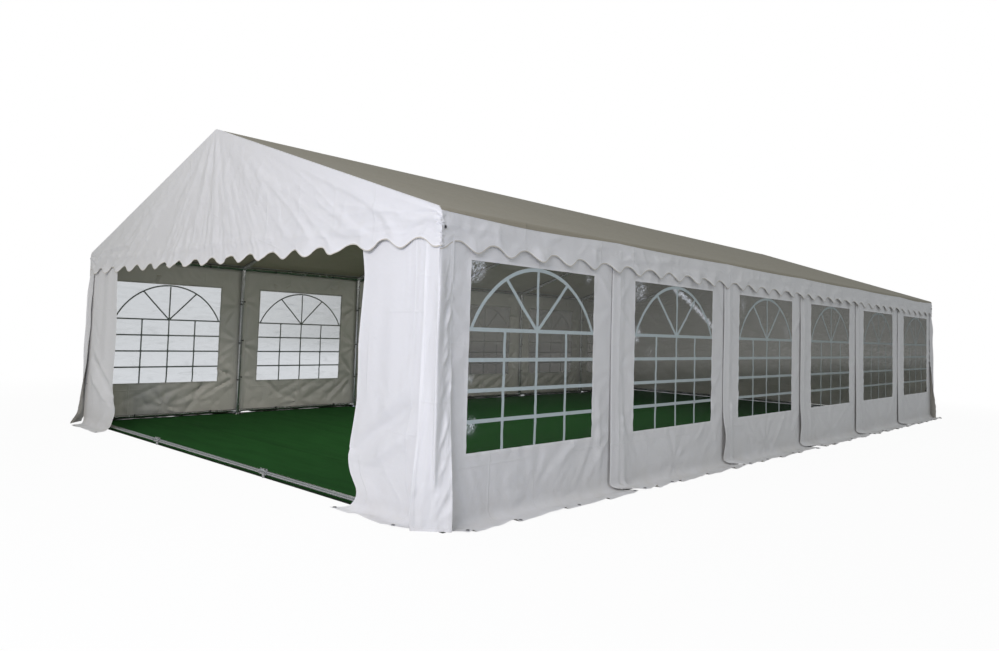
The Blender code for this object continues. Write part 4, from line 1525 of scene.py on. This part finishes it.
def curtain_sheet(name, side, knots, flap, seed):
    """side is -1 for the left curtain and 1 for the right one."""
    curve = hanging_curve(flap)
    total = float(curve[0][-1])
    flap_start = total - (flap - BEND)
    down = steps(0, total, cell=0.018)
    share = np.linspace(0, 1, 56)
    v, t = np.meshgrid(down, share, indexing="ij")
    reach, height, out, rise = follow(v, curve)
    smooth = sum(free_edge(height + shift, knots) for shift in (-0.03, -0.015, 0, 0.015, 0.03)) / 5
    flat_part = ease(v, flap_start - 0.05, total)
    inner = smooth - 0.11 * flat_part
    outer = END_CLOTH_EDGE - 0.115 * ease(v, flap_start - 0.12, flap_start + 0.02)
    outer -= 0.08 * ease(v, flap_start, total)
    x = inner + t * (outer - inner)
    across = CURTAIN_WIDTH * t
    free = 1 - ease(t, 0.62, 0.97)
    relief = curtain_relief(across, v, t, flap_start, seed)
    relief = relief * (0.25 + 0.75 * free) * (1 - ease(v, flap_start - 0.06, flap_start + 0.04)) + 0.0012
    relief = np.where(v < 0.2, np.minimum(relief, 0.008), relief)
    relief = np.maximum(relief, -0.010 * (0.1 + free) - 0.014 * bump(v, 1.35, 0.3) * free)
    waves = 0.004 + 0.004 * np.maximum(ripples(across, v, seed + 3, 0.32, waves=6), -1)
    relief += flat_part * waves
    bow = flat_part * 0.012 * (np.cos((t - 0.5) * math.pi) - 0.6)
    y = -(END_WALL_FACE + reach + relief * out - bow)
    z = np.maximum(height + relief * rise, LOWEST)
    points = stacked(side * x, y, z)
    width = outer - inner
    hem = np.minimum(np.minimum(t, 1 - t) * width, np.minimum(v, total - v))
    cut = stacked(across + 7 * PACKED_ACROSS * side - 0.12, v + 0.2)
    sheet = make_sheet(name, points, cut, hem, (0, -1, 0), WHITE_CLOTH)
    pegs = [points[-2, 2], points[-2, -3]]
    return sheet, total, pegs


curtain_pegs = []
CURTAINS = (("left", -1, LEFT_EDGE, 0.19, 71), ("right", 1, RIGHT_EDGE, 0.13, 81))
for label, side, knots, flap, seed in CURTAINS:
    curtain, total, pegs = curtain_sheet(f"{label}_curtain_cloth", side, knots, flap, seed)
    curtain_pegs += pegs
    dress(
        curtain,
        [f"front_{label}_curtain"],
    )
    print(curtain.name, len(curtain.data.polygons), "faces")

# %% [markdown]
# ## The back walls
#
# The back is closed by two halves that meet at a zip. They hang as the side walls do, without windows,
# and are wider, so they have longer folds.

# %% Back walls
def back_sheet(name, side, seed):
    across = steps(0.0005, END_CLOTH_EDGE, cell=0.042)
    down = steps(0, WALL_LENGTH, cell=0.035)
    v, s = np.meshgrid(down, across, indexing="ij")
    reach, height, out, rise = follow(v, WALL_CURVE)
    inner = ease(s, 0.0, 0.12) * (1 - ease(s, 2.75, 2.95))
    relief = 0.009 * ripples(s, v, seed, 0.8, turn=math.pi / 2, stretch=4)
    low_waves = 0.007 * ripples(s, v, seed + 2, 0.45) * ease(v, 1.0, 1.8)
    relief += 0.004 * crests(s, v, seed + 1, 0.5) + low_waves
    random = np.random.default_rng(seed)
    for _ in range(12):
        start = (random.uniform(0.2, 2.8), random.uniform(0.6, 1.5))
        end = (start[0] + random.uniform(-0.7, 0.7), random.uniform(1.65, 1.85))
        relief += chance_drag(random, s, v, start, end, (-0.008, 0.012), (0.025, 0.05))
    for tie in POST_TIES:
        relief += 0.010 * star(s, v, (2.95, tie), 0.2, 7, seed + tie)
    relief = relief * (0.1 + 0.9 * inner) * (1 - ease(v, FLAP_START - 0.12, FLAP_START)) + 0.002
    relief = np.maximum(relief, -0.010 * (0.1 + inner)) + flap_relief(s, v, seed)
    outer_trim = 1 - 0.05 * ease(v, FLAP_START - 0.1, FLAP_START) * ease(s, 2.0, 2.97)
    x = side * s * outer_trim
    y = END_WALL_FACE + reach + relief * out - 0.02 * ease(v, FLAP_START - 0.1, WALL_LENGTH)
    z = np.maximum(height + relief * rise, LOWEST)
    hem = np.minimum(np.minimum(s, END_CLOTH_EDGE - s), np.minimum(v, WALL_LENGTH - v))
    cut = stacked(s + 10 * PACKED_ACROSS * side, v)
    points = stacked(x, y, z)
    return make_sheet(name, points, cut, hem, (0, 1, 0.2), WHITE_CLOTH)


for label, side, seed in (("left", -1, 91), ("right", 1, 95)):
    back = back_sheet(f"back_cloth_{label}", side, seed)
    dress(
        back,
        [f"back_wall_{label}"],
    )
    print(back.name, len(back.data.polygons), "faces")

# %% [markdown]
# ## The corner strips
#
# A loose strip hides each corner post. At the top it is folded round the corner under the valance, at the
# ground it has swung out flat. Between the two it forms a channel beside the curtain and a bright ridge
# over the post, which ends in a dent a hand's breadth above the ground. The strip is made once for the
# front right corner and mirrored.

# %% Corner strips
STRIP_HALF = 0.13
STRIP_FOOT = 2.993
RIDGE_LOW = 0.25


def strip_relief(t, z, seed):
    standing = ease(z, RIDGE_LOW, RIDGE_LOW + 0.07)
    width = 0.07 + 0.17 * ease(z, RIDGE_LOW, 1.0)
    ridge = 0.032 * standing / (1 + ((t - 0.12) / width) ** 2)
    channel = -0.006 * bump(t, -0.42, 0.30) * standing
    lip = 0.007 * bump(t, -1.0, 0.14) * ease(z, 0.3, 0.9)
    lobe = 0.014 * bump(t, 0.50, 0.24) * bump(z, 0.26, 0.07)
    dent = -0.012 * bump(t, 0.10, 0.16) * bump(z, RIDGE_LOW - 0.02, 0.03)
    across = t * STRIP_HALF
    folds = 0.003 * ripples(across, z, seed, 0.08, turn=math.pi / 2, stretch=6)
    flank = 0.0035 * crests(across, z, seed + 1, 0.14, turn=0.9, stretch=2.0) * ease(t, 0.15, 0.45)
    random = np.random.default_rng(seed)
    for number in range(7):
        top = 1.55 - 0.21 * number + random.uniform(-0.06, 0.06)
        drop = random.uniform(0.12, 0.26)
        flank = flank + 0.008 * drag(across, z, (0.125, top), (0.03, top - drop), 0.010)
        flank = flank - 0.005 * drag(across, z, (0.130, top - 0.05), (0.04, top - drop - 0.06), 0.008)
    soft = 0.003 * ripples(across, z, seed + 2, 0.12) * (1 - standing)
    return ridge + channel + lip + lobe + dent + folds + flank + soft


def strip_points(seed, flare):
    height = steps(1.925, 0.0016, cell=0.02)
    share = np.linspace(-1, 1, 41)
    z, t = np.meshgrid(height, share, indexing="ij")
    bend = 0.018
    length = np.abs(t) * STRIP_HALF
    corner = HALF_WIDTH - 0.0026
    curve = np.clip(length / bend, 0, 1)
    along = np.where(length < bend, bend * np.sin(curve * math.pi / 4) * 1.1, length - 0.24 * bend)
    inset = np.where(length < bend, bend * 0.30 * (1 - curve) ** 1.2, 0)
    hug_x = np.where(t < 0, corner - along, corner - inset)
    hug_y = np.where(t < 0, corner - inset, corner - along)
    low_x = STRIP_FOOT + t * STRIP_HALF / math.sqrt(2)
    low_y = STRIP_FOOT - t * STRIP_HALF / math.sqrt(2)
    swing = ease(1.25 - z, 0.0, 1.20)
    swing = 0.85 * swing**1.3 + 0.15 * swing**4
    x = hug_x + (low_x - hug_x) * swing
    y = hug_y + (low_y - hug_y) * swing
    loose = ease(1.80 - z, 0.0, 0.35)
    out = loose * np.maximum(strip_relief(t, z, seed), -0.002) + flare * (1 - ease(z, 0.0, 0.22)) ** 2
    diagonal = 1 / math.sqrt(2)
    turned = (1 - swing) * ease(np.abs(t), 0.1, 0.5)
    x = x + out * (diagonal + turned * (np.where(t < 0, 0, 1) - diagonal))
    y = y + out * (diagonal + turned * (np.where(t < 0, 1, 0) - diagonal))
    hem = np.minimum((1 - np.abs(t)) * STRIP_HALF, z)
    cut = stacked(t * STRIP_HALF, z)
    return x, y + HALF_LENGTH - HALF_WIDTH, z, hem, cut


for end, end_side in ENDS:
    for label, side in SIDES:
        seed = 200 + 10 * side + 3 * end_side
        flare = 0.075 if (end_side, side) == (-1, -1) else 0.0
        x, y, z, hem, cut = strip_points(seed, flare)
        points = stacked(side * x, end_side * y, z)
        strip = make_sheet(
            f"{end}_{label}_strip_cloth", points, cut, hem, (side, end_side, 0), WHITE_CLOTH
        )
        dress(
            strip,
            [f"{end}_{label}_corner_strip"],
        )
print("corner strips:", len(strip.data.polygons), "faces each")

# %% [markdown]
# ## The carpet
#
# The floor is needled carpet in widths laid side by side. It is heavy and lies flat, with a slightly
# rounded edge, and steps over nothing, so a box with a soft rim and low swells is enough. It is notched
# at the foot plates as the solid is.

# %% Carpet
CARPET_X = 2.975
CARPET_Y = 5.925
PILE_TOP = 0.006
NOTCH_X = 2.84
NOTCH_Y = 5.88
NOTCH_HALF = 0.065


def carpet_sheet():
    across = steps(-CARPET_X, -NOTCH_X, NOTCH_X, CARPET_X, cell=0.09)
    stops = [-CARPET_Y, -NOTCH_Y]
    for number in range(1, BAYS):
        y = -HALF_LENGTH + number * BAY
        stops += [y - NOTCH_HALF, y + NOTCH_HALF]
    along = steps(*stops, NOTCH_Y, CARPET_Y, cell=0.09)
    y, x = np.meshgrid(along, across, indexing="ij")
    rim = np.minimum(CARPET_X - np.abs(x), CARPET_Y - np.abs(y))
    swells = np.tanh(ripples(x, y, 301, 0.9))
    z = PILE_TOP - 0.0010 - 0.0010 * (1 - ease(rim, 0.0, 0.03)) + 0.0004 * swells
    middle_x, middle_y = (x[:-1, :-1] + x[1:, 1:]) / 2, (y[:-1, :-1] + y[1:, 1:]) / 2
    by_post = np.abs(middle_x) > NOTCH_X
    from_line = np.abs(np.mod(middle_y + HALF_LENGTH + BAY / 2, BAY) - BAY / 2)
    corner = np.abs(middle_y) > NOTCH_Y
    keep = ~(by_post & ((from_line < NOTCH_HALF + 0.001) | corner))
    cut = stacked(x, y)
    points = stacked(x, y, z)
    return make_sheet("laid_carpet", points, cut, rim, (0, 0, 1), (pile, pile), keep, thickness=0.0035)


carpet = carpet_sheet()
dress(
    carpet,
    ["floor_carpet"],
)
print("carpet:", len(carpet.data.polygons), "faces")

# %% [markdown]
# ## Small parts that repeat
#
# Eyelets, bolts and the elastic loops with their balls are the same part many times over. A mesh of bare
# points says where they go, with two directions on each point: where the part faces and how it is turned.
# A Geometry Nodes tree puts a part on each point. Copying objects would do it too, but the tree keeps the
# sizes in one place.

# %% Scatter trees
def scatter_tree(name, sizes, build):
    """A tree that builds one part and puts it on every point, its Z axis along the facing."""
    inputs = {"Geometry": ("geometry", None), "Seed": ("whole", 7), "Roll": ("value", 0.0)}
    inputs.update({label: ("value", value) for label, value in sizes.items()})
    inputs["Material"] = ("material", None)
    tree, entry, leave = start_group(name, "GeometryNodeTree", inputs, {"Geometry": "geometry"})
    part = build(tree, entry)
    kind = "GeometryNodeInputNamedAttribute"
    facing, beside = (
        place_node(tree, kind, {"Name": label}, data_type="FLOAT_VECTOR").outputs[0]
        for label in ("facing", "beside")
    )
    turned = place_node(tree, "FunctionNodeAxesToRotation", {
        "Primary Axis": facing, "Secondary Axis": beside,
    }, primary_axis="Z", secondary_axis="X")
    chance = place_node(tree, "FunctionNodeRandomValue", {"Seed": entry["Seed"]}, data_type="FLOAT")
    centred = minus(tree, chance.outputs[1], 0.5)
    angle = times(tree, centred, entry["Roll"])
    roll = place_node(tree, "FunctionNodeAxisAngleToRotation", {"Axis": (0, 0, 1), "Angle": angle})
    rotation = place_node(tree, "FunctionNodeRotateRotation", {
        "Rotation": turned.outputs[0], "Rotate By": roll.outputs[0],
    }, rotation_space="LOCAL")
    spots = place_node(tree, "GeometryNodeMeshToPoints", {"Mesh": entry["Geometry"]})
    placed = place_node(tree, "GeometryNodeInstanceOnPoints", {
        "Points": spots.outputs[0], "Instance": part, "Rotation": rotation.outputs[0],
    })
    real = place_node(tree, "GeometryNodeRealizeInstances", {"Geometry": placed.outputs[0]})
    finished = place_node(tree, "GeometryNodeSetMaterial", {
        "Geometry": real.outputs[0], "Material": entry["Material"],
    })
    tree.links.new(finished.outputs[0], leave["Geometry"])
    return tree


def ring(tree, radius, wire, around=16, section=6):
    inputs = {}
    for label, corners, size in (("Curve", around, radius), ("Profile Curve", section, wire)):
        shape = {"Resolution": corners, "Radius": size}
        inputs[label] = place_node(tree, "GeometryNodeCurvePrimitiveCircle", shape).outputs[0]
    return place_node(tree, "GeometryNodeCurveToMesh", inputs).outputs[0]


def moved_by(tree, part, shift):
    place = place_node(tree, "ShaderNodeCombineXYZ", shift).outputs[0]
    return place_node(tree, "GeometryNodeTransform", {"Geometry": part, "Translation": place}).outputs[0]


def joined(tree, *parts):
    node = tree.nodes.new("GeometryNodeJoinGeometry")
    for part in parts:
        tree.links.new(part, node.inputs[0])
    return node.outputs[0]


def scatter(name, spots, tree, finish, values=None):
    """spots are (place, facing, beside) triples. The result is a plain mesh."""
    mesh = bpy.data.meshes.new(name)
    mesh.from_pydata([tuple(spot[0]) for spot in spots], [], [])
    for label, column in (("facing", 1), ("beside", 2)):
        layer = mesh.attributes.new(label, "FLOAT_VECTOR", "POINT")
        layer.data.foreach_set("vector", np.array([spot[column] for spot in spots], np.float32).ravel())
    made = add_object(name, mesh)
    modifier = made.modifiers.new("scatter", "NODES")
    modifier.node_group = tree
    sockets = {item.name: item.identifier for item in tree.interface.items_tree if item.in_out == "INPUT"}
    for label, value in {"Material": finish, **(values or {})}.items():
        modifier[sockets[label]] = value
    bake(made)
    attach(made, "root")
    print(name, len(spots), "times,", len(made.data.polygons), "faces")
    return made


print("scatter ready")

# %% [markdown]
# ## Eyelets
#
# The flaps are pegged through metal eyelets near their corners, and the valance has one at each end where
# a rope can be tied. An eyelet is a rolled ring round a hole. Through the hole you see dark, so a small
# black disc of painted shade sits inside the ring.

# %% Eyelets
def build_eyelet(tree, entry):
    return ring(tree, entry["Radius"], entry["Wire"], around=14, section=5)


EYELET_INSET = 0.022
ON_CLOTH = np.array([0, 0, 0.003])
EYELET = scatter_tree("eyelet", {"Radius": 0.011, "Wire": 0.0026}, build_eyelet)
eyelet_spots = []
for side in (-1, 1):
    for number in range(1, BAYS + 1):
        start, end = panel_reach(number)
        for s in (start + 0.03, -0.33, 0.33, end - 0.03):
            v = np.array(WALL_LENGTH - EYELET_INSET)
            peg = wall_surface(side, number, np.array(s), v, wall_seed(side, number))
            eyelet_spots.append((tuple(peg + ON_CLOTH), (0, 0, 1), (0, 1, 0)))
    for end_side in (-1, 1):
        eyelet_spots.append(((side * 3.006, end_side * 5.965, 1.879), (side, 0, 0), (0, 1, 0)))
for peg in curtain_pegs:
    eyelet_spots.append((tuple(peg + ON_CLOTH), (0, 0, 1), (0, 1, 0)))
scatter("eyelets", eyelet_spots, EYELET, bolt_zinc, {"Roll": 1.0})

# %% [markdown]
# ## Eyelet holes
#
# The dark discs, painted shade for the dark seen through each hole, stand on the same points as the rings.
# They have a tree of their own, because they take the black rubber finish where the rings are metal.

# %% Eyelet holes
def build_hole(tree, entry):
    return place_node(tree, "GeometryNodeMeshCylinder", {
        "Vertices": 12, "Radius": entry["Radius"], "Depth": entry["Depth"],
    }).outputs[0]


HOLE = scatter_tree("eyelet_hole", {"Radius": 0.0105, "Depth": 0.002}, build_hole)
# Painted shade: a black disc in each eyelet for the dark seen through the hole.
scatter("eyelet_holes", eyelet_spots, HOLE, rubber_and_hole_shade)

# %% [markdown]
# ## Bolts of the frame
#
# Each sleeve is pinched on its tube by a hexagon bolt with a washer. They sit on the inner side of the
# fittings, at the foot, at the eave and at the ridge of every portal, and two hold each coupler.

# %% Bolts
def build_bolt(tree, entry):
    head = place_node(tree, "GeometryNodeMeshCylinder", {
        "Vertices": 6, "Radius": entry["Head"], "Depth": entry["Height"],
    }).outputs[0]
    washer = place_node(tree, "GeometryNodeMeshCylinder", {
        "Vertices": 14, "Radius": entry["Washer"], "Depth": 0.002,
    }).outputs[0]
    half = times(tree, entry["Height"], 0.5)
    return joined(tree, moved_by(tree, head, {"Z": half}), washer)


BOLT = scatter_tree("bolt", {"Head": 0.0075, "Height": 0.008, "Washer": 0.010}, build_bolt)


def portal_y(number):
    y = -HALF_LENGTH + number * BAY
    return max(-END_POST_Y, min(END_POST_Y, y))


SLEEVE = 0.029
BAR_Z = 0.045
COUPLER = 0.0205
TUBE = 0.025
EAVE_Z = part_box("left_eave_purlin")[0].z + TUBE
RIDGE_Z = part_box("ridge_purlin")[0].z + TUBE
RAFTER_ANGLE = math.atan(SLOPE)
bolt_spots = []
for number in range(BAYS + 1):
    y = portal_y(number)
    for side in (-1, 1):
        inward = (-side, 0, 0)
        for z in (0.13, EAVE_Z - 0.13, EAVE_Z - 0.06):
            bolt_spots.append(((side * (POST_X - SLEEVE), y, z), inward, (0, 1, 0)))
        lean = Vector((side * math.cos(RAFTER_ANGLE), 0, -math.sin(RAFTER_ANGLE)))
        under = Vector((-side * math.sin(RAFTER_ANGLE), 0, -math.cos(RAFTER_ANGLE)))
        top = Vector((0, y, RIDGE_Z))
        for reach in (0.06, 0.13):
            bolt_spots.append((top + lean * reach + under * SLEEVE, under, (0, 1, 0)))
            eave = Vector((side * POST_X, y, EAVE_Z)) - lean * reach
            bolt_spots.append((eave + under * SLEEVE, under, (0, 1, 0)))
for end_side in (-1, 1):
    for x in (-1.0, 1.0):
        for shift in (-0.042, 0.042):
            place = (x + shift, end_side * END_POST_Y, BAR_Z + COUPLER)
            bolt_spots.append((place, (0, 0, 1), (1, 0, 0)))
            place = (x + shift, end_side * (END_POST_Y + COUPLER), BAR_Z)
            bolt_spots.append((place, (0, end_side, 0), (1, 0, 0)))
scatter("frame_bolts", bolt_spots, BOLT, bolt_zinc, {"Roll": 2.0})

# %% [markdown]
# ## Elastic loops with balls
#
# Walls are tied to the posts, purlins and ground bars with short loops of elastic cord that close over a
# ball. The cord goes round the tube and the ball sits on the inner side. Cord and balls are two trees,
# because each has a finish of its own, and the loops on the thin ground bars are smaller.

# %% Elastic loops
def build_loop(tree, entry):
    return ring(tree, entry["Loop"], entry["Cord"], 18, 5)


def build_ball(tree, entry):
    sizes = {"Segments": 12, "Rings": 8, "Radius": entry["Ball"]}
    sphere = place_node(tree, "GeometryNodeMeshUVSphere", sizes).outputs[0]
    shift = {"X": plus(tree, entry["Loop"], entry["Ball"])}
    ball = moved_by(tree, sphere, shift)
    return place_node(tree, "GeometryNodeSetShadeSmooth", {"Geometry": ball}).outputs[0]


TUBE_LOOP = 0.0275
GROUND_LOOP = 0.0185
LOOP = scatter_tree("elastic_loop", {"Loop": TUBE_LOOP, "Cord": 0.0022}, build_loop)
BALL = scatter_tree("elastic_ball", {"Loop": TUBE_LOOP, "Ball": 0.0115}, build_ball)
post_ties = []
ground_ties = []
for side in (-1, 1):
    for number in range(BAYS + 1):
        y = portal_y(number)
        for tie in POST_TIES:
            for shift in (-0.018, 0.018):
                turn = 0.7 if shift > 0 else -0.7
                beside = (-side * math.cos(turn), math.sin(turn), 0)
                post_ties.append(((side * POST_X, y, WALL_TOP - tie + shift), (0, 0, 1), beside))
    for number in range(BAYS):
        middle = -HALF_LENGTH + (number + 0.5) * BAY
        for y in (middle - 0.5, middle + 0.5):
            post_ties.append(((side * POST_X, y, EAVE_Z), (0, 1, 0), (-side, 0, -0.5)))
            ground_ties.append(((side * POST_X, y + 0.1, BAR_Z), (0, 1, 0), (-side, 0, 0.6)))
for label, spots, loop in (("tube", post_ties, TUBE_LOOP), ("ground", ground_ties, GROUND_LOOP)):
    scatter(f"{label}_elastic_loops", spots, LOOP, elastic, {"Loop": loop})
    scatter(f"{label}_elastic_balls", spots, BALL, rubber_and_hole_shade, {"Loop": loop})

# %% [markdown]
# ## The zip
#
# The halves of the back meet at a coil zip. Its teeth repeat every six millimetres down the seam, so they
# are scattered on a line of points on both faces of the cloth.

# %% Zip
def build_tooth(tree, entry):
    return place_node(tree, "GeometryNodeMeshCube", {"Size": (0.011, 0.0035, 0.004)}).outputs[0]


TOOTH = scatter_tree("zip_tooth", {}, build_tooth)
ZIP_PITCH = 0.006
TOOTH_PROUD = 0.0025
zip_spots = []
for v in np.arange(0.02, FLAP_START - 0.02, ZIP_PITCH):
    reach, height, out, rise = follow(np.array(v), WALL_CURVE)
    facing = np.array([0, out, rise])
    place = np.array([0, END_WALL_FACE + reach, height]) + TOOTH_PROUD * facing
    zip_spots.append((place, facing, (1, 0, 0)))
scatter("back_zip", zip_spots, TOOTH, zip_nylon)

# %% [markdown]
# ## Floor
#
# The photo is cut out on white, so the floor and the world are white to the camera. Under the tent the
# floor is dark, for the ground there and the deep shade on it, a painted shade which keeps a white line
# from showing between the carpet and the walls. What is seen through the windows is not white: behind one
# film it is pale grey, and behind two films, one after the other, it is dark, as it is in the photo. A film
# has two faces, so the number of clear faces crossed tells how many films there were.

# %% Floor
BEHIND_ONE_FILM = (0.71, 0.735, 0.765, 1)
BEHIND_TWO_FILMS = (0.085, 0.085, 0.080, 1)
UNDER_TENT_GROUND_AND_SHADE = (0.02, 0.03, 0.02, 1)
FOOT_SHADE = 0.06


def films_crossed(tree):
    """The colour that the surroundings have for the camera, by the films in between."""
    depth = place_node(tree, "ShaderNodeLightPath").outputs["Transparent Depth"]
    one = math_node(tree, "GREATER_THAN", depth, 0.5)
    two = math_node(tree, "GREATER_THAN", depth, 3.5)
    color = blend_colors(tree, one, (1, 1, 1, 1), BEHIND_ONE_FILM)
    return blend_colors(tree, two, color, BEHIND_TWO_FILMS), one


def pale_floor():
    size = 90
    mesh = bpy.data.meshes.new("studio_floor")
    corners = [(-size, -size, 0), (size, -size, 0), (size, size, 0), (-size, size, 0)]
    mesh.from_pydata(corners, [], [(0, 1, 2, 3)])
    material, tree, shader = new_surface("studio_floor", (0.80, 0.80, 0.80), 0.9)
    shader.inputs["Specular IOR Level"].default_value = 0.1
    where = object_place(tree)
    length = place_node(tree, "ShaderNodeVectorMath", {0: where}, operation="LENGTH").outputs["Value"]
    far = map_range(tree, length, (7.0, 12.0), (0.95, 1.0), smooth=True)
    parts = axes_of(tree, where)
    across = math_node(tree, "ABSOLUTE", parts["X"])
    beyond_side = math_node(tree, "GREATER_THAN", across, HALF_WIDTH + FOOT_SHADE)
    back_y = END_WALL_FACE + BEND
    from_middle = minus(tree, parts["Y"], (back_y - END_POST_Y) / 2)
    along = math_node(tree, "ABSOLUTE", from_middle)
    beyond_end = math_node(tree, "GREATER_THAN", along, (back_y + END_POST_Y) / 2)
    outside = math_node(tree, "MAXIMUM", beyond_side, beyond_end)
    # Painted shade: inside the footprint the floor takes the dark of the shaded ground.
    shade = blend_colors(tree, outside, UNDER_TENT_GROUND_AND_SHADE, (0.80, 0.80, 0.80, 1))
    tree.links.new(shade, shader.inputs["Base Color"])
    seen = place_node(tree, "ShaderNodeLightPath").outputs["Is Camera Ray"]
    color, one_film = films_crossed(tree)
    white = place_node(tree, "ShaderNodeEmission", {"Color": color, "Strength": 1.0})
    seen = times(tree, seen, outside)
    share = times(tree, math_node(tree, "MAXIMUM", far, one_film), seen)
    mixed = place_node(tree, "ShaderNodeMixShader", {0: share, 1: shader.outputs[0], 2: white.outputs[0]})
    tree.links.new(mixed.outputs[0], tree.nodes["Material Output"].inputs[0])
    floor = add_object("studio_floor", mesh, material)
    floor.location.z = -0.0005
    return floor


studio_floor = pale_floor()
print("floor", studio_floor.name)

# %% [markdown]
# ## Light
#
# The light is soft daylight: a sky that is brighter overhead, a large warm lamp in front of the open end
# and a smaller cool one close to the front right corner, which falls off quickly along both faces. One
# more soft lamp under the ridge stands for the daylight that comes through the roof cloth.

# %% World and lamps
def studio_world():
    world = bpy.data.worlds.new("studio")
    bpy.context.scene.world = world
    world.use_nodes = True
    tree = world.node_tree
    tree.nodes.clear()
    where = place_node(tree, "ShaderNodeTexCoord").outputs["Generated"]
    parts = axes_of(tree, where)
    high = map_range(tree, parts["Z"], (0.0, 0.8), (0.23, 0.575), smooth=True)
    sky = place_node(tree, "ShaderNodeBackground", {"Color": (0.96, 0.99, 1.0, 1), "Strength": high})
    beyond = place_node(tree, "ShaderNodeBackground", {"Color": films_crossed(tree)[0], "Strength": 1.0})
    seen = place_node(tree, "ShaderNodeLightPath").outputs["Is Camera Ray"]
    mixed = place_node(tree, "ShaderNodeMixShader", {0: seen, 1: sky.outputs[0], 2: beyond.outputs[0]})
    place_node(tree, "ShaderNodeOutputWorld", {"Surface": mixed.outputs[0]})


def soft_lamp(name, place, target, size, watts, color):
    data = bpy.data.lights.new(name, "AREA")
    data.shape = "RECTANGLE"
    data.size, data.size_y = size
    data.energy = watts
    data.color = color
    lamp = bpy.data.objects.new(name, data)
    bpy.context.scene.collection.objects.link(lamp)
    lamp.location = place
    lamp.rotation_mode = "QUATERNION"
    lamp.rotation_quaternion = (Vector(place) - Vector(target)).to_track_quat("Z", "Y")
    lamp.visible_camera = False
    return lamp


studio_world()
soft_lamp("front_light", (5.5, -15.0, 6.5), (1.5, -6.0, 1.2), (4.0, 3.0), 360, (1.0, 0.90, 0.70))
soft_lamp("corner_light", (4.6, -10.5, 3.4), (2.6, -6.0, 1.2), (3.0, 2.5), 125, (0.66, 0.72, 1.0))
soft_lamp("through_roof", (0.0, -1.5, 2.45), (0.0, -1.5, 0.0), (2.0, 8.5), 90, (1.0, 1.0, 0.96))
print("light ready")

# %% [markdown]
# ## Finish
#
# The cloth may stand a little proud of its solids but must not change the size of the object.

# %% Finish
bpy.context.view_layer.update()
